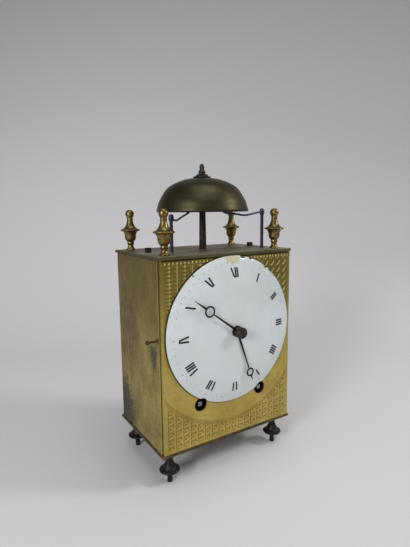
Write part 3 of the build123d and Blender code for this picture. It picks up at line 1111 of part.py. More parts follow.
def pin_wheel():
    """The strike's pin wheel: its pins lift the hammer's tail, and its rear pinion turns the count wheel."""
    wheel = crossed_wheel(PIN_WHEEL, PIN_Y, PIN_TEETH, PIN_MODULE)
    for pin in range(LIFTING_PINS):
        point = polar(LIFTING_PIN_CIRCLE, 90 + (pin + 0.5) * 360 / LIFTING_PINS, PIN_WHEEL)
        wheel += rod(point, PIN_Y + WHEEL_THICKNESS + LIFTING_PIN_LENGTH, PIN_Y, LIFTING_PIN_RADIUS)
    shaft = rod(PIN_WHEEL, COUNT_Y, INNER_FRONT_Y + END_SHAKE, ARBOR_RADIUS)
    shaft += rod(PIN_WHEEL, INNER_FRONT_Y + END_SHAKE, MOVEMENT_FRONT_Y, PIVOT_RADIUS)
    rear_back = COUNT_Y + WHEEL_THICKNESS + CONTACT_GAP
    rear_face = facing(PIN_WHEEL, rear_back) * pinion_outline(COUNT_PINION, COUNT_MODULE, 0.0)
    wheel += extrude(rear_face, rear_back - COUNT_Y) + second_pinion(PIN_WHEEL, PIN_PINION_PHASE)
    return wheel + shaft


def warning_wheel():
    leaves = pinion(WARNING, PIN_Y, WARNING_PINION, PIN_MODULE, WARNING_PINION_PHASE)
    return crossed_wheel(WARNING, WARNING_Y, WARNING_TEETH, WARNING_MODULE) + leaves + arbor(WARNING)


def fly():
    """The air brake of the strike: two blades on the fastest arbor."""
    half, x, z = FLY_THICKNESS / 2, *FLY
    back_y = FLY_Y + FLY_WIDTH
    blades = upright((x - FLY_RADIUS, x + FLY_RADIUS), (FLY_Y, back_y), z - half, z + half)
    leaves = pinion(FLY, WARNING_Y, FLY_PINION, WARNING_MODULE, FLY_PINION_PHASE)
    return arbor(FLY) + blades + rod(FLY, back_y, FLY_Y, FLY_SLEEVE_RADIUS) + leaves


def count_wheel():
    """The count wheel; its raised ring has a notch after each hour's number of blows."""
    face = wheel_outline(COUNT_TEETH, COUNT_MODULE, COUNT_PHASE)
    outer = pitch_radius(COUNT_TEETH, COUNT_MODULE) - COUNT_RING_DROP
    ring = Circle(outer) - Circle(outer - COUNT_RING_WIDTH)
    blows = sum(range(1, 13))
    for hour in range(1, 13):
        turn = 360 * sum(range(hour)) / blows
        ring -= Rot(0, 0, turn) * Pos(outer, 0) * Rectangle(3 * COUNT_RING_WIDTH, COUNT_NOTCH)
    back = COUNT_Y + WHEEL_THICKNESS
    wheel = extrude(facing(COUNT, back) * face, WHEEL_THICKNESS)
    wheel += extrude(facing(COUNT, back + COUNT_RING_HEIGHT) * ring, COUNT_RING_HEIGHT + WHEEL_THICKNESS / 2)
    return wheel - rod(COUNT, back, COUNT_Y, ARBOR_RADIUS + PIVOT_FIT)


def alarm_wheel():
    """The alarm's pin wheel with its small spring drum; its pins throw the second hammer."""
    back = ALARM_Y + WHEEL_THICKNESS
    wheel = rod(ALARM_WHEEL, back, ALARM_Y, ALARM_WHEEL_RADIUS)
    for pin in range(ALARM_PINS):
        point = polar(ALARM_PIN_CIRCLE, (pin + 0.5) * 360 / ALARM_PINS, ALARM_WHEEL)
        wheel += rod(point, back + LIFTING_PIN_LENGTH, back, LIFTING_PIN_RADIUS)
    wheel += rod(ALARM_WHEEL, ALARM_Y, ALARM_Y - ALARM_DRUM_LENGTH, ALARM_DRUM_RADIUS)
    return wheel + arbor(ALARM_WHEEL, ARBOR_RADIUS)


# ---------------------------------------------------------------- motion work and levers
MINUTE_WHEEL_Y = CANNON_Y - CONTACT_GAP            # back face of the minute wheel
LIFTING_LEVER_Y = MINUTE_WHEEL_Y + LEVER_THICKNESS + CONTACT_GAP / 2
LOCKING_LEVER_Y = COUNT_Y + WHEEL_THICKNESS + CONTACT_GAP


def cannon_pinion():
    """A sleeve on the centre shaft, from the movement to the minute hand."""
    body = rod(CENTRE, RATCHET_Y, COLLET_BACK_Y, CANNON_RADIUS)
    leaves = facing(CENTRE, CANNON_Y) * pinion_outline(CANNON_TEETH, MOTION_MODULE, 0.0)
    body += extrude(leaves, CANNON_LEAF_LENGTH)
    return body - rod(CENTRE, RATCHET_Y, COLLET_BACK_Y, CENTRE_SHAFT_RADIUS + PIVOT_FIT)


def minute_wheel():
    """The minute wheel and its pinion, with the pin at the back that raises the lifting lever."""
    face = wheel_outline(MINUTE_TEETH, MOTION_MODULE, MINUTE_PHASE) - crossings(MINUTE_TEETH, MOTION_MODULE)
    plane, front_y = facing(MINUTE_WHEEL, MINUTE_WHEEL_Y), HOUR_Y - MOTION_WHEEL_THICKNESS
    wheel = extrude(plane * face, MOTION_WHEEL_THICKNESS)
    wheel += extrude(plane * pinion_outline(MINUTE_PINION, MOTION_MODULE, 0.0), MINUTE_WHEEL_Y - front_y)
    pin = polar(WARNING_PIN_CIRCLE, -90, MINUTE_WHEEL)
    pin_front = MINUTE_WHEEL_Y - MOTION_WHEEL_THICKNESS
    wheel += rod(pin, MINUTE_WHEEL_Y + WARNING_PIN_LENGTH, pin_front, WARNING_PIN_RADIUS)
    return wheel - rod(MINUTE_WHEEL, MOVEMENT_FRONT_Y, front_y, ARBOR_RADIUS + PIVOT_FIT)


def hour_wheel():
    """The hour wheel's pipe runs on the cannon pinion and carries the hour hand."""
    end_y = HOUR_HAND_Y - HAND_THICKNESS
    face = wheel_outline(HOUR_TEETH, MOTION_MODULE, HOUR_PHASE) - crossings(HOUR_TEETH, MOTION_MODULE)
    face += Circle(HOUR_PIPE_RADIUS + HOUR_WHEEL_HUB)
    wheel = extrude(facing(CENTRE, HOUR_Y) * face, MOTION_WHEEL_THICKNESS)
    wheel += rod(CENTRE, HOUR_Y, end_y, HOUR_PIPE_RADIUS)
    return wheel - rod(CENTRE, HOUR_Y, end_y, CANNON_RADIUS + PIVOT_FIT)


def lever(eye, target, gap, back_y):
    """A flat lever from its eye towards a target point, ending the gap short of it."""
    length = hypot(target[0] - eye[0], target[1] - eye[1]) - gap
    bar = Pos(length / 2, 0) * Rectangle(length, LEVER_WIDTH) + Circle(LEVER_EYE_RADIUS)
    bar -= Circle(ARBOR_RADIUS + PIVOT_FIT)
    return extrude(facing(eye, back_y, direction(eye, target)) * bar, LEVER_THICKNESS)


def lifting_lever():
    """Raised once an hour by the minute wheel's pin, it lets the strike go."""
    gap = WARNING_PIN_CIRCLE + WARNING_PIN_RADIUS + 2 * CONTACT_GAP
    return lever(LIFTING_LEVER, MINUTE_WHEEL, gap, LIFTING_LEVER_Y)


def locking_lever():
    """Its end rides on the count wheel's ring and drops into a notch to stop the strike."""
    gap = pitch_radius(COUNT_TEETH, COUNT_MODULE) - COUNT_RING_DROP + CONTACT_GAP
    return lever(LOCKING_LEVER, COUNT, gap, LOCKING_LEVER_Y + LEVER_THICKNESS)


# ---------------------------------------------------------------- hands
def hand(length, ring_centre, ring_radius, bore, angle, back_y):
    """A flat iron hand: an eye, a tapered arm, an open ring and a pointed end."""
    inner = ring_radius - HAND_RING_WIDTH
    root, waist, tip = HAND_ROOT_WIDTH / 2, HAND_ARM_WIDTH / 2, HAND_TIP_WIDTH / 2
    ring_middle = ring_radius - HAND_RING_WIDTH / 2
    arm_end, point_start = ring_centre - ring_middle, ring_centre + ring_middle
    shape = Circle(bore + HAND_EYE_WIDTH) + Pos(0, ring_centre) * (Circle(ring_radius) - Circle(inner))
    shape += make_face(Polyline((-root, 0), (root, 0), (waist, arm_end), (-waist, arm_end), close=True))
    shape += make_face(Polyline((-root, point_start), (root, point_start), (tip, length), (-tip, length),
                                close=True))
    shape -= Circle(bore)
    return extrude(facing(CENTRE, back_y) * Rot(0, 0, -angle) * shape, HAND_THICKNESS)


def minute_hand():
    return hand(MINUTE_HAND_LENGTH, MINUTE_RING_CENTRE, MINUTE_RING_RADIUS, CANNON_RADIUS + STUD_CLEARANCE,
                MINUTE_HAND_ANGLE, MINUTE_HAND_Y)


def hour_hand():
    return hand(HOUR_HAND_LENGTH, HOUR_RING_CENTRE, HOUR_RING_RADIUS, HOUR_PIPE_RADIUS + STUD_CLEARANCE,
                HOUR_HAND_ANGLE, HOUR_HAND_Y)


def hand_collet():
    """The round collet that holds the minute hand on its shaft."""
    wide, length, bevel = COLLET_RADIUS, COLLET_BACK_Y - COLLET_FRONT_Y, COLLET_BEVEL
    body = lathe((0, 0), (wide - bevel, 0), (wide, bevel), (wide, length - bevel), (wide - bevel, length),
                 (0, length))
    bore = rod(CENTRE, COLLET_BACK_Y, COLLET_FRONT_Y + COLLET_CAP, CENTRE_SHAFT_RADIUS + PIVOT_FIT)
    return facing(CENTRE, COLLET_BACK_Y).location * body - bore


# ---------------------------------------------------------------- pallets and pendulum
def pallets():
    """The recoil anchor on its arbor, which runs back through the cock to the pendulum."""
    wheel_centre, reach = (0, ESCAPE[1] - PALLET[1]), ESCAPE_RADIUS + PALLET_GAP
    neck, shape = PALLET_HUB_RADIUS * PALLET_NECK, Circle(PALLET_HUB_RADIUS)
    for side in (-1, 1):
        angle = 90 - side * PALLET_HALF_SPAN
        tip_in = polar(reach, angle + side * PALLET_TIP_INNER, wheel_centre)
        tip_out = polar(reach + PALLET_TIP_SLOPE, angle - side * PALLET_TIP_OUTER, wheel_centre)
        elbow_out = polar(reach + PALLET_ARM_DEPTH, angle - side * PALLET_ELBOW_OUTER, wheel_centre)
        elbow_in = polar(reach + PALLET_ELBOW_DEPTH, angle + side * PALLET_ELBOW_INNER, wheel_centre)
        corners = (0, neck), elbow_out, tip_out, tip_in, elbow_in, (0, -neck)
        shape += make_face(Polyline(*corners, close=True))
    back_y = ESCAPE_Y + (WHEEL_THICKNESS + PALLET_THICKNESS) / 2
    plate = extrude(facing(PALLET, back_y) * shape, PALLET_THICKNESS)
    shaft = rod(PALLET, PENDULUM_Y + PENDULUM_EYE_LENGTH / 2, INNER_FRONT_Y + END_SHAKE, ARBOR_RADIUS)
    shaft += rod(PALLET, INNER_FRONT_Y + END_SHAKE, MOVEMENT_FRONT_Y, PIVOT_RADIUS)
    return plate + shaft


def back_cock():
    """The bridge behind the back plate that carries the pallet arbor's rear bearing."""
    half, low, high = COCK_WIDTH / 2, PALLET[1] - COCK_HEIGHT / 2, PALLET[1] + COCK_HEIGHT / 2
    back_y = COCK_Y + COCK_THICKNESS
    cock = upright((-half, half), (COCK_Y, back_y), low, high)
    for side in (-1, 1):
        cock += upright((side * half, side * (half - COCK_FOOT_WIDTH)), (MOVEMENT_BACK_Y, COCK_Y), low, high)
    for point in SCREWED_COCK:
        cock -= rod(point, back_y, MOVEMENT_BACK_Y, SCREW_RADIUS + STUD_CLEARANCE)
    return cock - rod(PALLET, back_y, COCK_Y, ARBOR_RADIUS + PIVOT_FIT)


BOB_HEIGHT = PALLET[1] - PENDULUM_LENGTH


def pendulum_rod():
    """The rod and its eye on the pallet arbor."""
    front_y, back_y = PENDULUM_Y - PENDULUM_EYE_LENGTH / 2, PENDULUM_Y + PENDULUM_EYE_LENGTH / 2
    body = rod(PALLET, back_y, front_y, PENDULUM_EYE_RADIUS)
    body += column(0, PENDULUM_Y, BOB_HEIGHT - PENDULUM_TAIL, PALLET[1], PENDULUM_ROD_RADIUS)
    return body - rod(PALLET, back_y, front_y, ARBOR_RADIUS + STUD_CLEARANCE)


def bob_bore(low, high):
    return column(0, PENDULUM_Y, low, high, PENDULUM_ROD_RADIUS + BOB_BORE_FIT)


def pendulum_bob():
    """A lens-shaped brass bob that slides on the rod."""
    half, edge, wide = BOB_THICKNESS / 2, BOB_EDGE / 2, BOB_RADIUS
    lens = lathe((0, -half), ((wide * 0.55, edge * 0.3 - half * 0.8), (wide, -edge)), (wide, edge),
                 ((wide * 0.55, half * 0.8 - edge * 0.3), (0, half)))
    lens = facing((0, BOB_HEIGHT), PENDULUM_Y).location * lens
    return lens - bob_bore(BOB_HEIGHT - wide, BOB_HEIGHT + wide)


def rating_nut():
    top = BOB_HEIGHT - BOB_RADIUS - CONTACT_GAP / 2
    low = top - RATING_NUT_HEIGHT
    return column(0, PENDULUM_Y, low, top, RATING_NUT_RADIUS) - bob_bore(low, top)


# ---------------------------------------------------------------- the whole clock
def clock_pieces():
    """Every node's name with its solid, or with a list of alike solids."""
    pieces = {
        "bottom_plate": case_plate(-PLATE_THICKNESS), "top_plate": top_plate(), "front_plate": front_plate(),
        "corner_pillars": corner_pillars(), "feet": feet(), "finials": finials(), "dial": dial(),
        "left_door": side_door(-1), "left_door_knob": side_knob_plane(-1).location * knob(),
        "right_door": side_door(1), "right_door_knob": side_knob_plane(1).location * knob(),
        "rear_door": rear_door(), "rear_door_knob": rear_knob_plane().location * knob(),
        "hinge_rods": hinge_rods(),
        "bell": bell(), "bell_post": bell_post(), "bell_washer": bell_washer(), "bell_nut": bell_nut(),
        "strike_hammer": strike_hammer(), "alarm_hammer": alarm_hammer(),
        "hammer_brackets": hammer_brackets(), "hammer_springs": hammer_springs(),
        "movement_front_plate": movement_front_plate(), "movement_back_plate": movement_back_plate(),
        "movement_pillars": movement_pillars(), "movement_screws": movement_screws(),
        "movement_studs": movement_studs(),
        "hanger_bar": hanger_bar(), "hanger_nuts": hanger_nuts(), "click_springs": click_springs(),
        "intermediate_wheel": intermediate_wheel(), "centre_wheel": centre_wheel(),
        "third_wheel": third_wheel(), "escape_wheel": escape_wheel(),
        "pin_wheel": pin_wheel(), "warning_wheel": warning_wheel(), "fly": fly(),
        "count_wheel": count_wheel(), "alarm_wheel": alarm_wheel(),
        "cannon_pinion": cannon_pinion(), "minute_wheel": minute_wheel(), "hour_wheel": hour_wheel(),
        "lifting_lever": lifting_lever(), "locking_lever": locking_lever(),
        "minute_hand": minute_hand(), "hour_hand": hour_hand(), "hand_collet": hand_collet(),
        "pallets": pallets(), "back_cock": back_cock(), "pendulum_rod": pendulum_rod(),
        "pendulum_bob": pendulum_bob(), "rating_nut": rating_nut(),
    }
    for train, point in (("going", GOING_BARREL), ("strike", STRIKE_BARREL)):
        pieces[train + "_barrel"] = barrel(point)
        pieces[train + "_mainspring"] = mainspring(point)
        pieces[train + "_winding_arbor"] = winding_arbor(point)
        pieces[train + "_click"] = click(point)
    return pieces


os.makedirs("parts", exist_ok=True)
for node, shape in clock_pieces().items():
    found = [solid for item in (shape if isinstance(shape, list) else [shape]) for solid in item.solids()]
    placed = [Pos(0, ROW_SHIFT_Y, CASE_BASE) * solid for solid in found]
    export_step(placed[0] if len(placed) == 1 else Compound(children=placed), "parts/" + node + ".step")
    print(node, len(placed), "solids", round(sum(solid.volume for solid in placed), 1), "mm3")
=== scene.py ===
# %% [markdown]
# # A lantern clock
#
# This script dresses the CAD model of a small spring-driven lantern clock: a brass box on four iron
# feet, with a domed enamel dial in front and a bell and four finials on top. The CAD says where every
# piece is. Here the pieces that show get rounder shapes, worn edges, stamped ornament and metal
# finishes. The model stands on z = 0 and its dial faces -Y. Blender's lengths are metres.

# %% Load the frame
from math import cos, pi, radians, sin

import bmesh
import bpy
import numpy as np
from mathutils import Matrix, Vector


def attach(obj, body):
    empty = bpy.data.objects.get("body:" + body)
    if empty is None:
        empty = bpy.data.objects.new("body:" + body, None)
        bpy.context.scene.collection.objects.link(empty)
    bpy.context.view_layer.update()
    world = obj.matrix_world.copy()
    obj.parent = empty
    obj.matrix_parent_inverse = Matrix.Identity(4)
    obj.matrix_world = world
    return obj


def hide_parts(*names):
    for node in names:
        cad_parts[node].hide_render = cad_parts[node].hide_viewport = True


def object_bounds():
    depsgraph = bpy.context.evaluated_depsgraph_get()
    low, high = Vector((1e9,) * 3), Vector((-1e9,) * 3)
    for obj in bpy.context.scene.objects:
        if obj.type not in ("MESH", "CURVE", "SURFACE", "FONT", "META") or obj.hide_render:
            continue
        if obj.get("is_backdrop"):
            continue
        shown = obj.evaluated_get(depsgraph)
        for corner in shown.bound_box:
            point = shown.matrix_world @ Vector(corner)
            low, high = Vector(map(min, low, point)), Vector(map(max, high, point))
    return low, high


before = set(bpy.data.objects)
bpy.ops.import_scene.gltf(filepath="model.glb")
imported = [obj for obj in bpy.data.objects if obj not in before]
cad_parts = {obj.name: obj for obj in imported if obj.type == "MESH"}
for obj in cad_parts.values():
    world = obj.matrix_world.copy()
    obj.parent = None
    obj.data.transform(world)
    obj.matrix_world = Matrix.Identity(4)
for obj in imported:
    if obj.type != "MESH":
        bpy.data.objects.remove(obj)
cad_box = [list(corner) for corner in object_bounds()]
print("CAD box", cad_box)

# %% [markdown]
# ## Measures
#
# A clockmaker measures the case in millimetres, from its own middle. Every object could be moved to its
# place in Blender, but a piece's place then hides in its object, and patterns slide when it is baked.
# So the case is drawn with x to the right, y to the back and z up from the bottom plate's upper face,
# and one function turns such points into metres in the model's frame.

# %% Case measures
MM = 0.001
CASE_ORIGIN = np.array((0.0, 3.25, 29.4))     # of the case's own frame, in the model's
CASE_HALF_WIDTH, CASE_HEIGHT, PLATE = 65.0, 153.0, 2.4
FRONT_Y, REAR_Y = -42.5, 42.5                 # outer faces of the front plate and the rear door
TOP_FACE = CASE_HEIGHT + PLATE
DIAL_Z, DIAL_RADIUS, DIAL_RISE, DIAL_EDGE, DIAL_CURVE = 91.8, 61.0, 6.2, 1.6, 3.4
HOLES = ((30.4, 34.1), (-30.4, 34.1))         # winding holes, (x, z)
HOLE_RADIUS = 5.7
CORNERS = [(x, y) for x in (-54.8, 54.8) for y in (-32.4, 32.4)]   # axes of feet and finials
FOOT_HEIGHT = 27.0


def placed(points):
    """Case points in millimetres, as metres in the model's frame."""
    return (np.asarray(points, float) + CASE_ORIGIN) * MM


print("dial centre", placed((0, FRONT_Y, DIAL_Z)))

# %% [markdown]
# ## Surfaces from formulas
#
# Turned, stamped and rolled metal has smooth shapes that a formula describes better than modelling by
# hand would. Every new piece is a grid of points: a shape with two parameters, worked out as whole numpy
# arrays. One helper joins the grid's points with quads, closes it round where it should, and merges the
# points that meet in a pole.

# %% Grid to mesh
SAME_PLACE, NO_LENGTH = 1e-7, 1e-8            # metres: points this close are one, edges this short go


def surface(name, *grids):
    """One mesh object from several (points, wrap_u, wrap_v, keep) grids; keep masks the quads."""
    points, quads, count = [], [], 0
    for grid, wrap_u, wrap_v, keep in grids:
        rows, columns = grid.shape[:2]
        index = np.arange(rows * columns).reshape(rows, columns) + count
        if wrap_u:
            index = np.vstack((index, index[:1]))
        if wrap_v:
            index = np.hstack((index, index[:, :1]))
        faces = np.stack((index[:-1, :-1], index[:-1, 1:], index[1:, 1:], index[1:, :-1]), axis=-1)
        quads.append(faces[keep] if keep is not None else faces.reshape(-1, 4))
        points.append(grid.reshape(-1, 3))
        count += rows * columns
    points, quads = np.vstack(points), np.vstack(quads)
    used, quads = np.unique(quads, return_inverse=True)
    mesh = bpy.data.meshes.new(name)
    mesh.from_pydata(points[used].tolist(), [], quads.reshape(-1, 4).tolist())
    shell = bmesh.new()
    shell.from_mesh(mesh)
    bmesh.ops.remove_doubles(shell, verts=shell.verts, dist=SAME_PLACE)
    bmesh.ops.dissolve_degenerate(shell, edges=shell.edges, dist=NO_LENGTH)
    shell.to_mesh(mesh)
    shell.free()
    mesh.shade_smooth()
    made = bpy.data.objects.new(name, mesh)
    bpy.context.scene.collection.objects.link(made)
    print(name, len(mesh.polygons), "faces")
    return made


def piece(name, body, slot, replaces=(), *grids):
    """A surface of the clock itself: it rides on a body and may stand in for CAD nodes."""
    made = surface(name, *grids)
    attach(made, body)
    if replaces:
        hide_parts(*replaces)
    return made


def case_points(made):
    """Every vertex of a piece as case millimetres: x, y and z."""
    flat = np.empty(3 * len(made.data.vertices))
    made.data.vertices.foreach_get("co", flat)
    return (flat.reshape(-1, 3) / MM - CASE_ORIGIN).T


def marked(made, name, values):
    """Keeps one number per vertex for a finish to read."""
    made.data.attributes.new(name, "FLOAT", "POINT").data.foreach_set("value", values)


print("grids become meshes")

# %% [markdown]
# A piece turned on a lathe is an outline carried round an axis. Blender's Spin tool or a Screw modifier
# could do it, but they need a curve object for each outline. Here the outline is given as runs of
# points: inside a run the line is smooth, and where two runs meet it has a corner, which a little
# smoothing wears down as polishing does on the real thing.

# %% Outlines and turned surfaces
def smooth_run(points, step):
    """A Catmull-Rom curve through the points, sampled about every step."""
    p = np.asarray(points, float)
    if len(p) == 2:
        count = max(int(np.hypot(*(p[1] - p[0])) / step), 1)
        return p[0] + (p[1] - p[0]) * np.linspace(0, 1, count + 1)[:, None]
    ends = np.vstack((2 * p[0] - p[1], p, 2 * p[-1] - p[-2]))
    pieces = []
    for a, b, c, d in zip(ends, ends[1:], ends[2:], ends[3:]):
        count = max(int(np.hypot(*(c - b)) / step), 2)
        t = np.linspace(0, 1, count, endpoint=False)[:, None]
        pieces.append(0.5 * (2 * b + (c - a) * t + (2 * a - 5 * b + 4 * c - d) * t ** 2
                             + (3 * b - a - 3 * c + d) * t ** 3))
    return np.vstack(pieces + [p[-1:]])


def outline(*runs, step=0.4, wear=3):
    """Runs of (radius, height) points joined at corners; wear passes of a 1-2-1 filter round them."""
    line = np.vstack([smooth_run(run, step)[:-1] for run in runs] + [np.asarray(runs[-1][-1:], float)])
    for _ in range(wear):
        line[1:-1] = (line[:-2] + 2 * line[1:-1] + line[2:]) / 4
    return line


def turned(line, centre, axis=2, turns=64, sign=1):
    """The outline's (radius, height) points carried round an axis: x = r cos a and y = r sin a."""
    angle = np.linspace(0, 2 * pi, turns, endpoint=False)
    radius, height = line[:, :1], line[:, 1:] + 0 * angle
    grid = np.empty((len(line), turns, 3))
    one, two = {0: (1, 2), 1: (2, 0), 2: (0, 1)}[axis]
    grid[..., one] = radius * np.cos(angle * sign)
    grid[..., two] = radius * np.sin(angle * sign)
    grid[..., axis] = height * sign
    return placed(grid + np.asarray(centre, float)), False, True, None


print("lathe ready")

# %% [markdown]
# A sheet's edges are rounded by filing and by a century of hands. A cube with a Bevel modifier comes
# close, but its faces stay flat. Here each side of the box is a grid that can also be bowed, and its
# edges are rounded by pulling the grid's points in.

# %% Sheet with rounded edges
ROUNDING_STEPS = 4


def soft_block(low, high, edge, step=3.0, swell=None):
    """A box whose edges are rounded by the given radius: each point of a box grid is pulled to the
    rounded surface, the point of the inner box nearest to it plus the radius along the way out."""
    low, high = np.asarray(low, float), np.asarray(high, float)
    grids = []
    for axis in range(3):
        one, two = [a for a in range(3) if a != axis]
        spans = []
        for a in (one, two):
            count = max(int((high[a] - low[a]) / step), 2)
            inner = np.linspace(low[a] + edge, high[a] - edge, count)
            rim = edge * (1 - np.cos(np.linspace(0, pi / 2, ROUNDING_STEPS)[:-1]))
            spans.append(np.concatenate((low[a] + rim, inner, high[a] - rim[::-1])))
        u, v = np.meshgrid(*spans, indexing="ij")
        for end, flip in ((low, 1), (high, 0)):
            grid = np.empty(u.shape + (3,))
            grid[..., one], grid[..., two], grid[..., axis] = u, v, end[axis]
            core = np.clip(grid, low + edge, high - edge)
            away = grid - core
            grid = core + away / np.maximum(np.linalg.norm(away, axis=-1, keepdims=True), 1e-9) * edge
            if swell is not None:
                grid = swell(grid)
            if bool(flip) == (axis != 1):
                grid = grid[::-1]
            grids.append((placed(grid), False, False, None))
    return grids


print("surface tools ready")

# %% [markdown]
# ## Camera
#
# The clock is seen from the left of its dial and a little above. A Track To constraint could aim the
# camera, but it can't lean it to one side. So the camera's three axes come from its heading, its dip
# and a slight roll: forwards, right and up are worked out with plain cross products, and become the
# columns of its matrix.

# %% Camera
CAMERA_PLACE = (-195.6, -307.05, 214.6)       # millimetres in the model's frame
HEADING, DIP, ROLL = radians(32.49), radians(8.055), radians(-0.645)
LENS, SENSOR = 27.155, 36.0                   # the sensor lies along the frame's longer side
NEAREST = 0.01                                # metres: nothing closer is drawn

forward = Vector((sin(HEADING) * cos(DIP), cos(HEADING) * cos(DIP), -sin(DIP)))
right = Vector((cos(HEADING), -sin(HEADING), 0.0))
up = right.cross(forward)
rolled_right = right * cos(ROLL) + up * sin(ROLL)
rolled_up = up * cos(ROLL) - right * sin(ROLL)
lens = bpy.data.cameras.new("camera")
lens.lens, lens.sensor_width, lens.clip_start = LENS, SENSOR, NEAREST
camera = bpy.data.objects.new("camera", lens)
bpy.context.scene.collection.objects.link(camera)
axes = Matrix((rolled_right, rolled_up, -forward)).transposed().to_4x4()
camera.matrix_world = Matrix.Translation(Vector(CAMERA_PLACE) * MM) @ axes
bpy.context.scene.camera = camera
print("camera at", tuple(round(v, 3) for v in camera.location))

# %% [markdown]
# ## Shader maths as Python
#
# A shader is a graph of nodes, and a sum of two noises is four nodes and five links. They could be
# placed by hand in the editor, but a graph of fifty nodes is hard to read there. The small class below
# wraps a socket, so that the sum is written as a sum.

# %% Values
class Value:
    """A socket's value: operators on it add Math nodes."""

    def __init__(self, finish, socket):
        self.finish, self.socket = finish, socket

    def maths(self, operation, *others):
        """A Math node on this value and up to two others."""
        return self.finish.node("ShaderNodeMath", {"operation": operation}, dict(enumerate((self, *others))))

    def __add__(self, other):
        return self.maths("ADD", other)

    def __mul__(self, other):
        return self.maths("MULTIPLY", other)

    def __sub__(self, other):
        return self.maths("SUBTRACT", other)

    def __rsub__(self, other):
        return self.maths("MULTIPLY_ADD", -1.0, other)

    __radd__, __rmul__ = __add__, __mul__

    def step(self, low, high):
        """Nothing below low, one above high, and a smooth rise between; low may be above high."""
        return self.finish.node("ShaderNodeMapRange", {"interpolation_type": "SMOOTHSTEP"},
                                {"Value": self, "From Min": low, "From Max": high})

    def band(self, middle, half):
        """One at the middle, falling smoothly to nothing half away from it."""
        return (self - middle).maths("ABSOLUTE").step(half, 0.0)


print("values ready")

# %% [markdown]
# A finish owns a material's graph. One method adds any node, and the others make patterns: cloudy
# noise, patches, round specks and marks kept on the mesh. A finish's colour is built up by laying one
# colour over another: stains as on the real thing, and in places painted shade and highlights.

# %% Finishes
MIX_SHARE, MIX_FIRST, MIX_SECOND, MIX_COLOUR = 0, 6, 7, 2     # the Mix node's sockets for colours
ATTRIBUTE_FACTOR = 2                                          # the Attribute node's number


class Finish:
    """A material and the methods that build its graph."""

    def __init__(self, name, **plain):
        self.material = bpy.data.materials.new(name)
        self.material.use_nodes = True
        self.tree = self.material.node_tree
        self.shader = self.tree.nodes["Principled BSDF"]
        self.place = self.node("ShaderNodeTexCoord", output="Object")
        axes_node = self.node("ShaderNodeSeparateXYZ", inputs={0: self.place}).socket.node
        self.x, self.y, self.z = (Value(self, axis) for axis in axes_node.outputs)
        for socket, number in plain.items():
            self.set(socket.replace("_", " ").title().replace("Ior", "IOR"), number)

    def feed(self, socket, given):
        """Links a value to a socket, or writes a constant on it."""
        if isinstance(given, Value):
            self.tree.links.new(given.socket, socket)
        else:
            socket.default_value = given

    def set(self, name, given):
        """Feeds one of the shader's own sockets."""
        self.feed(self.shader.inputs[name], given)

    def node(self, kind, settings=None, inputs=None, output=0):
        """Adds a node: its settings first, then the values or links of its sockets."""
        made = self.tree.nodes.new(kind)
        for name, setting in (settings or {}).items():
            setattr(made, name, setting)
        for name, given in (inputs or {}).items():
            self.feed(made.inputs[name], given)
        return Value(self, made.outputs[output])

    def spread(self, size, stretch, at):
        """The piece's own coordinates in cells of size millimetres, longer along a stretched axis."""
        scale = [1 / (MM * size * s) for s in stretch]
        return self.node("ShaderNodeMapping", inputs={"Vector": self.place, "Location": at, "Scale": scale})

    def noise(self, size, detail=3.0, rough=0.5, stretch=(1, 1, 1), at=(0, 0, 0)):
        """Noise whose patches are about size millimetres across."""
        cells = self.spread(size, stretch, at)
        return self.node("ShaderNodeTexNoise", inputs={"Vector": cells, "Scale": 1.0, "Detail": detail,
                                                       "Roughness": rough})

    def patches(self, size, low, high, **more):
        """The same noise as a mask: nothing under low, one over high."""
        return self.noise(size, **more).step(low, high)

    def specks(self, size, radius):
        """Small round marks: distance to the nearest of scattered points, as a mask."""
        cells = self.spread(size, (1, 1, 1), (0, 0, 0))
        away = self.node("ShaderNodeTexVoronoi", inputs={"Vector": cells, "Scale": 1.0}, output="Distance")
        return away.step(radius, radius * 0.4)

    def mark(self, name):
        """The number that a piece keeps at each vertex under this name."""
        return self.node("ShaderNodeAttribute", {"attribute_name": name}, output=ATTRIBUTE_FACTOR)

    def mix(self, share, first, second):
        """A colour between two: the first where the share is nothing, the second where it is one."""
        made = self.node("ShaderNodeMix", {"data_type": "RGBA"}, output=MIX_COLOUR)
        sockets = made.socket.node.inputs
        self.feed(sockets[MIX_SHARE], share)
        for socket, colour in ((sockets[MIX_FIRST], first), (sockets[MIX_SECOND], second)):
            self.feed(socket, colour if isinstance(colour, Value) else (*colour, 1.0))
        return made

    def lay_colour(self, mask, colour):
        """Lays a colour over the finish's colour so far, as strongly as the mask says."""
        self.colour = self.mix(mask, self.colour, colour)

    def bump(self, height, depth):
        """Small relief: the height's full range stands for depth millimetres."""
        self.set("Normal", self.node("ShaderNodeBump", inputs={"Height": height, "Distance": depth * MM,
                                                               "Strength": 1.0}))


def wear(made, finish):
    """Puts a finish on a piece or a CAD node."""
    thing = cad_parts[made] if isinstance(made, str) else made
    thing.data.materials.clear()
    thing.data.materials.append(finish.material)


print("finishes ready")

# %% [markdown]
# ## Brass
#
# Old lacquered sheet brass is a yellow metal with fine rubbing lines, darker patches of patina and
# small brown or black spots. A scanned picture could be laid on it, but it would stretch over the
# edges. So one function makes the common ground from noise in the metal's own space, and each finish
# adds its own stains, and in places painted shade and highlights, at real places on the case: their masks
# read the piece's coordinates in metres.

# %% Ground of every metal
FINE_SIZE, GRAIN_SIZE = 0.9, 3.0              # rubbing lines and shallow dents, in millimetres
PALE_GOLD, BROWN = (0.50, 0.42, 0.17), (0.10, 0.055, 0.025)


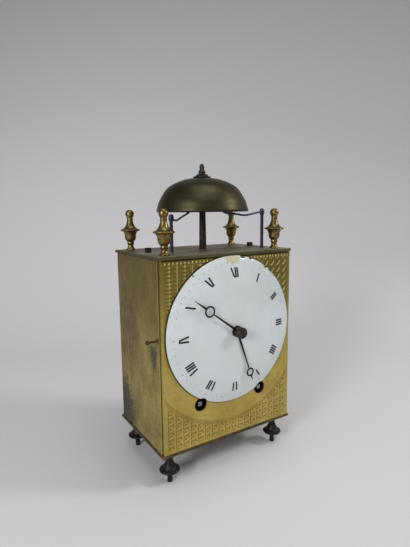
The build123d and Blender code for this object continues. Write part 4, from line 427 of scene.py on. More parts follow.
def brushed_metal(name, light, dark, size=14.0, stretch=(1, 1, 1), roughness=(0.30, 0.48), metallic=1.0,
                  grain=0.012):
    """A metal whose colour drifts between light and dark and whose fine grain catches the light."""
    made = Finish(name, metallic=metallic)
    drift = made.noise(size, 5.0, 0.6, stretch)
    fine = made.noise(FINE_SIZE, 3.0, 0.6, stretch)
    made.colour = made.mix((drift * 0.8 + fine * 0.2).step(0.3, 0.72), dark, light)
    made.rough = drift * (roughness[0] - roughness[1]) + fine * 0.10 + (roughness[1] - 0.02)
    made.grain = fine * 0.6 + made.noise(GRAIN_SIZE, 4.0, 0.6, stretch) * 0.4
    made.grain_depth = grain
    return made


def finished(made, extra_height=None):
    """Connects the colour, roughness and grain of a finish to its shader."""
    made.set("Base Color", made.colour)
    made.set("Roughness", made.rough)
    height = made.grain * made.grain_depth
    if extra_height is not None:
        height = height + extra_height
    made.bump(height, 1.0)
    print("finish", made.material.name)


# %% [markdown]
# The front plate is the brightest sheet and still yellow. Its upper part is painted darker, as shade
# that stands in for the darker reflection up there, and it has a little grime, brown specks and rust. Dirt
# sits in the hollows of its ornament, the crests get a painted highlight, and the seams a painted shadow.
# Noise can't know where those are, so the relief keeps them as marks on its vertices.

# %% Front plate
front_brass = brushed_metal("front_brass", (0.64, 0.485, 0.135), (0.47, 0.35, 0.090), 22.0,
                            roughness=(0.34, 0.50))
# painted shade: the upper part of the front is darkened to stand for its darker reflection
shaded_above = (front_brass.z + front_brass.noise(30.0) * 0.05).step(0.125, 0.205)
front_brass.lay_colour(shaded_above * 0.80, (0.190, 0.160, 0.040))
front_brass.lay_colour(front_brass.patches(16.0, 0.52, 0.72) * 0.35, PALE_GOLD)
grime = front_brass.noise(2.4, 7.0, 0.75)
front_brass.lay_colour(grime.step(0.52, 0.66) * 0.38, (0.20, 0.155, 0.035))
front_brass.lay_colour(front_brass.specks(9.0, 0.06) * 0.7, BROWN)
front_brass.lay_colour(front_brass.patches(7.0, 0.60, 0.75) * 0.25, (0.28, 0.10, 0.04))     # rust
front_brass.lay_colour(front_brass.mark("hollow") * 0.85, (0.12, 0.092, 0.018))
# painted highlight: the crests of the ornament are made pale where they would catch the light
front_brass.lay_colour(front_brass.mark("crest_highlight") * 0.62, (0.80, 0.72, 0.33))
# painted shadow: nearly black along the dial's edge and under the top plate
front_brass.lay_colour(front_brass.mark("seam_shadow"), (0.028, 0.024, 0.010))
finished(front_brass)

# %% [markdown]
# The doors are handled more and cleaned less. They have pale crumbs of bare metal, a reddish belt
# half-way up, black tarnish in the left door's lower rear corner and under its knob, and a painted
# highlight: a bright strip along the front edge. Noise alone would scatter these evenly, and painting them
# would need a picture.
# So each is a smooth mask at its own place, broken up by the same two noises.

# %% Doors
side_brass = brushed_metal("side_brass", (0.46, 0.375, 0.115), (0.24, 0.19, 0.055), 16.0, (1, 1, 1.8),
                           (0.42, 0.58), 0.85)
side_x, side_y, side_z = side_brass.x, side_brass.y, side_brass.z
blotches = side_brass.noise(7.0, 9.0, 0.78, (1, 1, 1.8))
crumbs = side_brass.noise(2.0, 6.0, 0.8, (1, 1, 1.3), (0.3, 0.1, 0.2))
side_high = side_z.step(0.085, 0.185)
side_brass.lay_colour(side_high * 0.62, (0.125, 0.090, 0.020))
bare = (crumbs * 0.6 + blotches * 0.4 - side_high * 0.05).step(0.49, 0.60)
side_brass.lay_colour(bare * 0.60, (0.60, 0.53, 0.24))
belt = side_y.band(0.022, 0.040) * side_z.band(0.120, 0.090)
reddened = (belt * 0.15 + blotches * 0.55 + crumbs * 0.45).step(0.55, 0.66)
side_brass.lay_colour(reddened * 0.66, (0.135, 0.055, 0.045))
corner = side_y.step(-0.020, 0.042) * side_z.step(0.110, 0.040) * side_x.step(-0.035, -0.062)
under_knob = (side_y + 0.026).band(0.0, 0.014) * side_z.band(0.106, 0.026)
blackened = ((corner + under_knob * 0.8) * 0.26 + blotches * 0.5 + crumbs * 0.5).step(0.62, 0.72)
side_brass.lay_colour(blackened * 0.85, (0.035, 0.036, 0.045))
side_brass.lay_colour(side_brass.specks(3.4, 0.20) * 0.6, BROWN)
# painted highlight: a bright strip along the side doors' front edge
side_brass.lay_colour(side_y.step(-0.0355, -0.0365) * 0.35, PALE_GOLD)
finished(side_brass)

# %% [markdown]
# The top plate lies under the bell's dust and has gone grey. Its edges, the faces that don't look up,
# are painted darker as shade. A second material on the edge's faces would end in a hard line, so a mask
# on the direction in which the surface faces finds them. The bottom plate shows only as a dark edge.

# %% Top and bottom plates
top_brass = brushed_metal("top_brass", (0.33, 0.30, 0.21), (0.17, 0.145, 0.09), 25.0, (3, 1, 1),
                          (0.42, 0.60), 0.8)
top_brass.lay_colour(top_brass.patches(10.0, 0.52, 0.66, detail=6.0) * 0.45, BROWN)
facing = top_brass.node("ShaderNodeNewGeometry", output="Normal")
facing_up = top_brass.node("ShaderNodeSeparateXYZ", inputs={0: facing}, output="Z").step(0.2, 0.9)
# painted shade: the faces that don't look up, the plate's edges, are darkened
top_brass.lay_colour((1 - facing_up) * 0.8, (0.085, 0.070, 0.032))
finished(top_brass)

edge_brass = brushed_metal("edge_brass", (0.17, 0.13, 0.055), (0.055, 0.042, 0.022), 7.0,
                           roughness=(0.42, 0.60), metallic=0.8)
finished(edge_brass)

# %% [markdown]
# Turned metal keeps fine rings from the lathe. They are too fine to model, so a wave along the axis,
# broken up by noise, goes into the bump. The finials have brown patches where the lacquer has gone. The
# bell is a darker bronze, almost evenly tarnished.

# %% Finials and bell
def lathe_lines(made, pitch, along):
    """Fine rings left by the turning tool: sin(2 pi along / pitch), shifted by noise."""
    wave = (along * (2 * pi / (pitch * MM)) + made.noise(6.0) * 4.0).maths("SINE")
    return wave * 0.5 + 0.5


turned_brass = brushed_metal("turned_brass", (0.31, 0.26, 0.085), (0.15, 0.105, 0.038), 9.0,
                             roughness=(0.28, 0.42))
turned_brass.lay_colour(turned_brass.patches(2.2, 0.50, 0.62, detail=5.0) * 0.5, (0.07, 0.052, 0.025))
turned_brass.lay_colour(turned_brass.patches(5.0, 0.48, 0.64, detail=5.0) * 0.65, (0.17, 0.080, 0.035))
finished(turned_brass, lathe_lines(turned_brass, 0.8, turned_brass.z) * 0.004)

bell_bronze = brushed_metal("bell_bronze", (0.078, 0.069, 0.036), (0.042, 0.036, 0.021), 16.0, (1, 1, 0.6),
                            (0.34, 0.46), 0.95)
bell_bronze.lay_colour(bell_bronze.patches(9.0, 0.55, 0.72) * 0.5, (0.045, 0.036, 0.025))
finished(bell_bronze, lathe_lines(bell_bronze, 1.6, bell_bronze.z) * 0.01)

# %% [markdown]
# Iron parts are blackened against rust, and steel ones are blued or left bright. They differ in colour
# and shine only, so each is the common ground with its own numbers. The movement's brass has stayed
# clean inside the case.

# %% Iron, steel and inner brass
black_iron = brushed_metal("black_iron", (0.034, 0.032, 0.029), (0.014, 0.013, 0.012), 5.0,
                           roughness=(0.38, 0.56), metallic=0.7, grain=0.03)
black_iron.lay_colour(black_iron.patches(3.0, 0.62, 0.74) * 0.5, (0.13, 0.06, 0.03))
finished(black_iron)

blued_iron = brushed_metal("blued_iron", (0.075, 0.070, 0.098), (0.034, 0.030, 0.042), 6.0, (1, 1, 3.0),
                           (0.34, 0.5), 0.8, 0.02)
finished(blued_iron)

hand_black = brushed_metal("hand_black", (0.020, 0.020, 0.024), (0.010, 0.010, 0.012), 4.0,
                           roughness=(0.36, 0.5), metallic=0.6)
finished(hand_black)

brown_steel = brushed_metal("brown_steel", (0.080, 0.064, 0.050), (0.030, 0.023, 0.019), 3.0,
                            roughness=(0.38, 0.52), metallic=0.9, grain=0.03)
finished(brown_steel)

bright_steel = brushed_metal("bright_steel", (0.34, 0.335, 0.36), (0.22, 0.215, 0.235), 7.0,
                             roughness=(0.26, 0.40))
finished(bright_steel)

knob_brass = brushed_metal("knob_brass", (0.10, 0.075, 0.035), (0.035, 0.026, 0.015), 3.0,
                           roughness=(0.28, 0.42))
finished(knob_brass)

clean_brass = brushed_metal("clean_brass", (0.64, 0.48, 0.20), (0.48, 0.34, 0.13), 16.0,
                            roughness=(0.24, 0.36))
finished(clean_brass)

# %% [markdown]
# The dial is glass fused on copper, a cold white with grey stains and a few chips round its edge. Glass
# on metal is a smooth coat on a dull colour, so the finish has a clear coat, and none in the chips.
# The mesh keeps three marks: "chip" is one inside a chip, "worn" where the glass has gone yellow, and
# "outer" in the ring of the minutes, which is full of small blue-grey flecks.

# %% Enamel
GLOSS, MATT = 0.16, 0.76
# the dial's edge behind this is painted dark, as bare copper and as painted shade on its side wall
BARE_EDGE_Y = (-0.04075, -0.0405)             # behind this the dial's copper edge shows, in metres

enamel = Finish("enamel", roughness=GLOSS, metallic=0.0, coat_roughness=0.08)
cloudy = enamel.noise(30.0, 5.0, 0.6).step(0.35, 0.75)
enamel.colour = enamel.mix(cloudy, (0.665, 0.70, 0.715), (0.61, 0.645, 0.635))
enamel.lay_colour(enamel.specks(7.0, 0.05) * 0.35, (0.35, 0.37, 0.36))
ring = enamel.mark("outer")
flecks = enamel.specks(2.6, 0.26) * enamel.patches(3.4, 0.46, 0.60, detail=3.0)
enamel.lay_colour(ring * flecks * 0.62, (0.30, 0.33, 0.42))
enamel.lay_colour(ring * enamel.patches(6.0, 0.50, 0.66) * 0.22, (0.55, 0.55, 0.72))
enamel.lay_colour(enamel.mark("worn") * 0.75, (0.52, 0.49, 0.29))
chipped, copper_edge_and_shade = enamel.mark("chip"), enamel.y.step(*BARE_EDGE_Y)
enamel.lay_colour(chipped, (0.05, 0.045, 0.04))
# the dial's bare copper edge, painted dark also as the shade on its side wall
enamel.lay_colour(copper_edge_and_shade, (0.09, 0.075, 0.045))
no_glass = (chipped + copper_edge_and_shade).step(0.0, 0.3)
enamel.set("Base Color", enamel.colour)
enamel.set("Coat Weight", 1 - no_glass)
enamel.set("Roughness", no_glass * (MATT - GLOSS) + GLOSS)
enamel.bump(enamel.noise(12.0, 3.0), 0.03)
print("enamel with chips")

# %% [markdown]
# The numerals are black ink fired into the glass, thin in places. The minute dots are nearly rubbed
# away. A texture could hold both, but strokes of their own stay sharp at any size, so there are two inks.

# %% Inks
ink = Finish("ink", roughness=0.3)
faded = ink.noise(2.5, 4.0, 0.6).step(0.66, 0.84)
ink.set("Base Color", ink.mix(faded, (0.008, 0.009, 0.012), (0.07, 0.08, 0.10)))
faint_ink = Finish("faint_ink", roughness=0.3)
rubbed = faint_ink.noise(14.0, 3.0, 0.6).step(0.46, 0.62)
faint_ink.set("Base Color", faint_ink.mix(rubbed, (0.16, 0.18, 0.27), (0.52, 0.56, 0.60)))
print("two inks")

# %% [markdown]
# ## Front plate's ornament
#
# The front plate is sheet brass stamped in a press. Vertical grooves part it into strips 6.7 mm wide:
# below they hold hooks of sunken leaves, at the upper right commas of raised ones, and at the upper
# left strings of beads and ridges in turn. A row of beads closes the top. Inside a circle about the
# dial's lower half the sheet is plain, with two scribed lines as its border. A bump map would look flat
# from the side, and a displacement picture would be a file of its own. So the sheet's height is a sum of
# simple terms: a groove is exp(-(d/w)^2) of the distance d to its line, and a leaf or bead is the same
# of the distance to its middle.

# %% Leaves and beads
STRIP, STRIP_SHIFT = 6.73, 0.52               # width of a strip, and where a groove lies
LEAF_ROW, BEAD_ROW = 6.0, 3.0


def hill(distance, width):
    """A smooth rise around a line or a point: exp(-(distance / width)^2)."""
    return np.exp(-(distance / width) ** 2)


def ramp(value, start, length):
    """Nothing up to start, then an even rise to one over length."""
    return np.clip((value - start) / length, 0, 1)


def leaves(u, v, turn, pitch, long, wide):
    """A column of slanting oval leaves: each is a hill of the distances along and across its own axis."""
    v = (v / pitch - np.round(v / pitch)) * pitch
    along, across = u * sin(turn) + v * cos(turn), u * cos(turn) - v * sin(turn)
    return hill(np.hypot(along / long, across / wide), 1.0)


def hooks(u, v):
    """A long leaf with two short ones that bend away from its ends."""
    leaf = leaves(u + 0.7, v, radians(66), LEAF_ROW, 2.6, 0.62)
    barb = leaves(u - 0.9, v + 1.1, radians(-20), LEAF_ROW, 1.6, 0.60)
    return np.clip(leaf + barb + leaves(u + 1.3, v + LEAF_ROW / 2, radians(84), LEAF_ROW, 1.6, 0.55), 0, 1)


def commas(u, v):
    """A slanting leaf with a short one across its foot."""
    leaf = leaves(u - 0.4, v, radians(38), LEAF_ROW, 2.5, 0.85)
    return leaf + leaves(u + 1.5, v + 1.9, radians(80), LEAF_ROW, 1.1, 0.6)


def strings(u, v, beaded):
    """Beads in the strips where beaded is one and a ridge in the others, between small leaves."""
    middle = leaves(u, v, 0.0, BEAD_ROW, 1.0, 0.8) * beaded + 0.8 * hill(u, 0.7) * (1 - beaded)
    return middle + 0.65 * leaves(abs(u) - 1.9, v, radians(60), BEAD_ROW, 1.3, 0.55)


def bead_row(u, v, pitch, radius):
    """One row of round beads along v = 0."""
    return hill(np.hypot((u / pitch - np.round(u / pitch)) * pitch, v), radius)


print("strips of", STRIP, "mm")

# %% Height of the sheet
CIRCLE_RADIUS, CIRCLE_LINES = 79.7, ((-0.4, 0.45), (-2.0, 0.4))    # lines: (from the circle, width)
PATTERN_CHANGE, TOP_ROW_Z, TOP_BAND_Z = 70.0, 149.6, 147.9         # heights where the pattern changes
BORDER_X, BORDER_Z = 61.4, 2.4                # plain border at both sides and below


def ornament(x, z):
    """Height of the stamped sheet above the CAD plate's face, in millimetres."""
    strip = (x - STRIP_SHIFT) / STRIP
    from_groove = (strip - np.round(strip)) * STRIP
    in_strip = (strip - np.floor(strip) - 0.5) * STRIP
    high = ramp(z, PATTERN_CHANGE, 20.0)
    left = high * ramp(-x, 8.0, 10.0)
    stamped = 0.40 - 0.44 * hooks(in_strip, z)
    comma = commas(in_strip, z)
    raised = 0.10 + 0.50 * (comma + (strings(in_strip, z, np.floor(strip) % 2) - comma) * left)
    pattern = stamped + (raised - stamped) * high - 0.36 * hill(from_groove, 0.50)
    top_row = bead_row(x - STRIP_SHIFT, z - TOP_ROW_Z, STRIP / 2, 0.95)
    pattern = np.where(z > TOP_BAND_Z, 0.10 + 0.55 * top_row, pattern)
    away = np.hypot(x, z - DIAL_Z)
    upper = ramp(z, DIAL_Z - 4.0, 8.0)
    share = np.maximum(ramp(away, CIRCLE_RADIUS, 0.9), upper * ramp(away, DIAL_RADIUS - 1.0, 1.5))
    border = np.minimum(ramp(-abs(x), -BORDER_X, 0.8), ramp(z, BORDER_Z, 0.8))
    lines = sum(hill(away - CIRCLE_RADIUS - shift, width) for shift, width in CIRCLE_LINES)
    plain = 0.24 - 0.16 * lines * (1 - upper)
    return plain + (pattern - plain) * share * border


sample = ornament(*np.meshgrid(np.arange(-60, 60, 0.5), np.arange(0, 150, 0.5)))
print("ornament from", round(float(sample.min()), 2), "to", round(float(sample.max()), 2), "mm")

# %% Stamped sheet
RELIEF_HALF, RELIEF_EDGE, HOLE_GAP, SUNK = 62.9, 0.15, 0.1, 0.05
RELIEF_STEP = 0.36
UNDER_DIAL = DIAL_RADIUS - 2.5                # the sheet isn't drawn further in than this


def sheet_height(x, z):
    """The ornament, dipping under the CAD plate's face at its edges and round the winding holes: there
    its height above the lowest level is multiplied by rise * (2 - rise)."""
    edge = np.minimum(RELIEF_HALF - abs(x), np.minimum(z - RELIEF_EDGE, CASE_HEIGHT - RELIEF_EDGE - z))
    for hole_x, hole_z in HOLES:
        edge = np.minimum(edge, np.hypot(x - hole_x, z - hole_z) - HOLE_RADIUS - HOLE_GAP)
    rise = ramp(edge, 0.0, 0.5)
    return (ornament(x, z) + SUNK) * rise * (2 - rise) - SUNK


x_line = np.arange(-RELIEF_HALF, RELIEF_HALF + 0.01, RELIEF_STEP)
z_line = np.arange(RELIEF_EDGE, CASE_HEIGHT - 0.1, RELIEF_STEP)
x_grid, z_grid = np.meshgrid(x_line, z_line)
relief = placed(np.stack((x_grid, FRONT_Y - sheet_height(x_grid, z_grid), z_grid), axis=-1))
middle_x, middle_z = x_grid[:-1, :-1] + RELIEF_STEP / 2, z_grid[:-1, :-1] + RELIEF_STEP / 2
shown = np.hypot(middle_x, middle_z - DIAL_Z) > UNDER_DIAL
for hole_x, hole_z in HOLES:
    shown &= np.hypot(middle_x - hole_x, middle_z - hole_z) > HOLE_RADIUS + HOLE_GAP
front_relief = piece("front_relief", "case", "sheet_brass", (), (relief, False, False, shown))

# %% [markdown]
# Three marks tell the brass finish where to lay colour: dirt in the hollows, a painted shadow along the
# seam round the dial and under the top plate, and a painted highlight on the crests.

# %% Dirt, painted shadow and painted highlight in the relief
HOLLOW_BELOW, CREST_ABOVE, TOP_SHADOW_Z = 0.22, 0.36, 151.2
x_case, y_case, z_case = case_points(front_relief)
here = ornament(x_case, z_case)
marked(front_relief, "hollow", ramp(-here, -HOLLOW_BELOW, 0.20))
# painted highlight on the crests of the ornament
marked(front_relief, "crest_highlight", ramp(here, CREST_ABOVE, 0.14))
# painted shadow along the dial's edge and under the top plate
dial_seam_shadow = hill(np.hypot(x_case, z_case - DIAL_Z) - DIAL_RADIUS, 0.9)
marked(front_relief, "seam_shadow", np.maximum(dial_seam_shadow, ramp(z_case, TOP_SHADOW_Z, 0.8)))
wear(front_relief, front_brass)
print("crests on", int((here > CREST_ABOVE).sum()), "points")

# %% [markdown]
# ## Dial
#
# The dial is a pressed copper dome with glass on it, cut by the two winding holes. Cutting a sphere with
# cylinders would leave ragged faces at the cuts. Here the dome falls from its middle by a power of the
# radius, and its outline is a circle with two notches, so every row of points ends exactly on the edge.
# For a direction u from the middle, the notch round a hole at c with radius r starts at the distance
# u.c - sqrt(r^2 - |c|^2 + (u.c)^2).

# %% Dome and marks
CHIPS = ((10.3, 2.6, 1.8), (18.4, 2.0, 1.3), (35.7, 1.7, 1.5), (-37.7, 0.7, 2.2), (41.0, 2.4, 0.7))
WORN = ((0.5, 8.5, 7.0), (34.0, 4.0, 2.5), (44.0, 5.0, 2.0))   # (degrees, half width, reach inwards)


def dome(radius):
    """How far the dial stands forward of the front plate at a radius."""
    return DIAL_EDGE + DIAL_RISE * (1 - (radius / DIAL_RADIUS) ** DIAL_CURVE)


def ragged(a, b, size):
    """A few crossed waves: a cheap wavering between -1 and 1 for edges of chips."""
    return (np.sin(a / size) + np.sin(1.7 * b / size + 1.3) + np.sin(2.9 * (a + b) / size)) / 3


def edge_marks(marks, degrees_here, inwards):
    """Each mark is an oval at the dial's edge, one inside and nothing outside its ragged outline."""
    total = np.zeros_like(inwards)
    for middle, half, reach in marks:
        along = radians(1) * DIAL_RADIUS * ((degrees_here - middle + 180) % 360 - 180)
        oval = np.hypot(along / half, inwards / reach) + 0.22 * ragged(along, inwards, 0.8)
        total = np.maximum(total, ramp(-oval, -1.12, 0.24))
    return total


def notched_edge(angle):
    """The dial's radius in each direction: its own, or the distance to a winding hole."""
    edge = np.full(len(angle), DIAL_RADIUS)
    for hole_x, hole_z in HOLES:
        towards = np.sin(angle) * hole_x + np.cos(angle) * (hole_z - DIAL_Z)
        inside = HOLE_RADIUS ** 2 - hole_x ** 2 - (hole_z - DIAL_Z) ** 2 + towards ** 2
        notch = np.where(inside > 0, towards - np.sqrt(np.maximum(inside, 0)), DIAL_RADIUS)
        edge = np.where((notch > 0) & (notch < edge), notch, edge)
    return edge


print("dial rises", round(float(dome(0.0)), 2), "mm")

# %% Enamel dial
DIAL_TURNS, DIAL_RINGS, FIRST_RING, CROWDING = 720, 90, 0.048, 1.6    # rings crowd towards the edge
LIP, LIP_DROP, UNDERSIDE, BEHIND = 0.35, 0.1, 0.8, -0.02
CHIP_DEPTH, WORN_DEPTH, RING_WIDTH = 0.55, 0.12, 15.0

angle = np.linspace(0, 2 * pi, DIAL_TURNS, endpoint=False)
edge_radius = notched_edge(angle)
share = 1 - (1 - np.linspace(FIRST_RING, 1, DIAL_RINGS)) ** CROWDING
face_radius = share[:, None] * (edge_radius - LIP)
roll = np.linspace(0, pi / 2, 5)[1:, None]
lip_radius = edge_radius - LIP + LIP * np.sin(roll)
lip_height = dome(edge_radius - LIP) - LIP * (1 - np.cos(roll)) - LIP_DROP * np.sin(roll)
skirt_height = np.tile(((UNDERSIDE,), (BEHIND,)), DIAL_TURNS)
radius = np.vstack((face_radius, lip_radius, np.tile(edge_radius, (2, 1))))
height = np.vstack((dome(face_radius), lip_height, skirt_height))
inwards = edge_radius - radius
clockwise = np.degrees(angle) + 0 * radius
chip, worn_mark = edge_marks(CHIPS, clockwise, inwards), edge_marks(WORN, clockwise, inwards)
height = height - (CHIP_DEPTH * chip + WORN_DEPTH * worn_mark) * (height > 1)
dial_points = np.stack((radius * np.sin(angle), FRONT_Y - height, DIAL_Z + radius * np.cos(angle)), axis=-1)
dial = piece("enamel_dial", "case", "enamel", ("dial",), (placed(dial_points), False, True, None))

x_case, y_case, z_case = case_points(dial)
inwards = DIAL_RADIUS - np.hypot(x_case, z_case - DIAL_Z)
clockwise = np.degrees(np.arctan2(x_case, z_case - DIAL_Z))
for name, marks in (("chip", CHIPS), ("worn", WORN)):
    marked(dial, name, edge_marks(marks, clockwise, inwards))
marked(dial, "outer", ramp(-inwards, -RING_WIDTH, 6.0) * ramp(inwards, 0.0, 1.5))
wear(dial, enamel)

# %% [markdown]
# The hours are plain Roman numerals, each set along its own radius with its foot to the middle. Blender's
# text would need a font of this cut and would have to be bent over the dome. So a numeral is a list of
# strokes in a small square of its own, and every stroke is a thin blister of ink that follows the dome.
# V and X have one thick stroke and one thin one.

# %% Strokes of ink
NUMERAL_FOOT, NUMERAL_HEIGHT = 43.6, 8.4
THICK, THIN = 1.75, 0.16
LETTER_WIDTH, SLANT = {"I": 1.98, "V": 3.4, "X": 3.4}, 1.4
INK_RISE, INK_SINK = 0.05, 0.015


def numeral(text):
    """Strokes (x at the foot, x at the head, thickness) of a Roman numeral, centred on x = 0."""
    strokes, x = [], -sum(LETTER_WIDTH[letter] for letter in text) / 2
    for letter in text:
        middle = x + LETTER_WIDTH[letter] / 2
        if letter == "I":
            strokes.append((middle, middle, THICK))
        elif letter == "V":
            strokes += [(middle, middle - SLANT, THICK), (middle, middle + SLANT, THIN)]
        else:
            strokes += [(middle + SLANT, middle - SLANT, THICK), (middle - SLANT, middle + SLANT, THIN)]
        x += LETTER_WIDTH[letter]
    return strokes


def on_dial(turn, across, out, lift):
    """Points on the dome: out from the middle at an angle, shifted across, lifted off the glass."""
    x = np.sin(turn) * out + np.cos(turn) * across
    z = np.cos(turn) * out - np.sin(turn) * across
    return placed(np.stack((x, FRONT_Y - dome(np.hypot(x, z)) - lift, DIAL_Z + z), axis=-1))


def stroke(turn, foot, head, thickness, low=NUMERAL_FOOT, long=NUMERAL_HEIGHT):
    """A blister of ink along a line: its height across falls as a circle's does."""
    along, across = np.meshgrid(np.linspace(0, 1, 16), np.linspace(-1, 1, 7), indexing="ij")
    lift = INK_RISE * np.sqrt(np.clip(1.02 - across ** 2, 0, 1)) - INK_SINK
    lift[0] = lift[-1] = -INK_SINK
    shift = foot + (head - foot) * along + across * thickness / 2
    return on_dial(turn, shift, low + long * along, lift), False, False, None


print("a V is", numeral("V"))

# %% Numerals and minute dots
HOURS = ("I", "II", "III", "IIII", "V", "VI", "VII", "VIII", "IX", "X", "XI", "XII")
DOT_PLACE, MINUTE_DOT, FIVE_DOT, BLOT, CRACK_WIDTH = 55.3, 0.75, 1.0, 0.7, 0.16

strokes = []
for hour, text in enumerate(HOURS, 1):
    strokes += [stroke(2 * pi * hour / 12, *parts) for parts in numeral(text)]
wear(piece("numerals", "case", "enamel", (), *strokes), ink)

dots = []
for minute in range(60):
    size = MINUTE_DOT if minute % 5 else FIVE_DOT
    dots.append(stroke(2 * pi * minute / 60, 0.0, 0.0, size, DOT_PLACE, size))
dots.append(stroke(radians(127.7), 0.0, 0.0, BLOT, 52.3, BLOT))
dots.append(stroke(radians(131.5), -3.6, 3.6, CRACK_WIDTH, 52.8, 1.4))
wear(piece("minute_dots", "case", "enamel", (), *dots), faint_ink)

# %% [markdown]
# ## Hands
#
# A hand is a filed iron bar: an arm, an open ring and a point. It could be a flat outline with a
# Solidify modifier, but filed edges are round. So each part is a run of flattened round sections. A
# ring's sections go round a circle, and the arm's go along a line at the hand's own angle. The two hands
# disagree by about half an hour, as they do when someone pushes one of them on its pipe.

# %% Parts of a hand
HAND_THICKNESS, THIN_END = 0.6, 0.18          # narrower than twice THIN_END, a section gets thinner too
ARM_ROOT, POINT_ROOT, POINT_TAPER, RING_HALF, EYE_HALF = 1.15, 1.15, 0.98, 0.68, 0.75
RING_INSET = 0.62                             # from the ring's outside to the line its sections follow


def hand_part(turn, back_y, along, across, half_width):
    """Flattened sections: centres (along, across the hand) and half widths, with closed ends."""
    section = np.linspace(0, 2 * pi, 16, endpoint=False)
    bulge = np.sign(np.cos(section)) * abs(np.cos(section)) ** 0.8
    depth = np.sign(np.sin(section)) * abs(np.sin(section)) ** 0.6
    width = half_width[:, None] * bulge
    step = np.gradient(np.stack((along, across), axis=-1), axis=0)
    step /= np.maximum(np.linalg.norm(step, axis=1), 1e-9)[:, None]
    out = along[:, None] - step[:, 1:] * width
    side = across[:, None] + step[:, :1] * width
    x = np.sin(turn) * out + np.cos(turn) * side
    z = np.cos(turn) * out - np.sin(turn) * side
    thick = HAND_THICKNESS / 2 * np.minimum(1, half_width[:, None] / THIN_END)
    y = back_y - HAND_THICKNESS / 2 - depth * thick
    return placed(np.stack((x, y + 0 * x, DIAL_Z + z), axis=-1)), False, True, None


def tapered(root, taper, power, run):
    """Half widths that fall from the root by taper * run^power, closed at both ends."""
    half = root - taper * run ** power
    half[0] = half[-1] = 0.0
    return half


def hand(name, clockwise, back_y, ring_middle, ring_radius, length, waist, eye):
    """The whole hand as one piece: arm, ring, point and eye."""
    turn, ring_line, run = radians(clockwise), ring_radius - RING_INSET, np.linspace(0, 1, 24)
    arm_along = run * (ring_middle - ring_line)
    point_along = ring_middle + ring_line + run * (length - ring_middle - ring_line)
    parts = [hand_part(turn, back_y, arm_along, 0 * run, tapered(ARM_ROOT, ARM_ROOT - waist, 0.6, run)),
             hand_part(turn, back_y, point_along, 0 * run, tapered(POINT_ROOT, POINT_TAPER, 0.8, run))]
    around = np.linspace(0, 2 * pi, 60)
    for middle, radius, half in ((ring_middle, ring_line, RING_HALF), (0.0, eye, EYE_HALF)):
        parts.append(hand_part(turn, back_y, middle + radius * np.cos(around), radius * np.sin(around),
                               np.full(60, half)))
    wear(piece(name, name, "blued_iron", (name,), *parts), hand_black)


# %% Hour hand and minute hand
hand("hour_hand", 160.3, back_y=-50.8, ring_middle=39.5, ring_radius=3.7, length=47.1, waist=0.58, eye=4.0)
hand("minute_hand", 306.7, back_y=-51.9, ring_middle=33.6, ring_radius=4.6, length=50.6, waist=0.55, eye=3.4)

# %% [markdown]
# ## Turned pieces
#
# The bell, its nut and washer, the finials, feet, knobs and the collet were all turned. The CAD's own
# turnings are right in size, but their corners are sharp. Their outlines are given again in
# millimetres from the axis and from the piece's own foot, with the corners worn.

# %% Collet
COLLET_RADIUS, COLLET_BACK = 4.65, -52.5
collet_line = outline(
    [(0, 0), (4.2, 0)], [(4.2, 0), (COLLET_RADIUS, 0.5)],
    [(COLLET_RADIUS, 0.5), (4.55, 3.2), (COLLET_RADIUS, 5.6)], [(COLLET_RADIUS, 5.6), (3.9, 6.35)],
    [(3.9, 6.35), (2.2, 6.05)], [(2.2, 6.05), (1.9, 6.38), (0, 6.4)], step=0.3)
collet = turned(collet_line, (0, COLLET_BACK, DIAL_Z), axis=1, turns=48, sign=-1)
wear(piece("hand_collet", "minute_hand", "turned_brass", ("hand_collet",), collet), brown_steel)

# %% [markdown]
# The bell was cast and turned to an even wall. Its outside is one smooth run from rim to crown, and the
# inside is the same run shrunk by the wall, so the rim can't come out uneven.

# %% Bell
BELL_RIM = TOP_FACE + 32.6
BELL_RADIUS, BELL_HEIGHT, BELL_WALL, BELL_HOLE = 40.5, 29.3, 2.2, 1.7
BELL_SHAPE = np.array(((1, 0), (0.973, 0.14), (0.917, 0.36), (0.755, 0.69), (0.525, 0.875), (0.28, 0.97)))


def bell_run(inset):
    """The bell's curve from the rim up, as shares of its radius and height."""
    radius, height = BELL_SHAPE.T
    return list(zip(radius * (BELL_RADIUS - inset), height * (BELL_HEIGHT - inset)))


outside, inside = bell_run(0.0), bell_run(BELL_WALL)
bell_line = outline([(BELL_HOLE, BELL_HEIGHT - BELL_WALL)] + inside[:0:-1] + [inside[0]],
                    [inside[0], outside[0]], outside + [(BELL_HOLE, BELL_HEIGHT)], step=0.8, wear=1)
bell = turned(bell_line, (0, 0, BELL_RIM), turns=128)
wear(piece("bell", "case", "bell_metal", ("bell",), bell), bell_bronze)

# %% [markdown]
# The bell is held on its post by a bevelled iron washer and a turned nut that ends in a small point.
# Both are brown with age. The nut's run of points bends only where the tool changed direction, and the
# rest is left to the smooth curve through them.

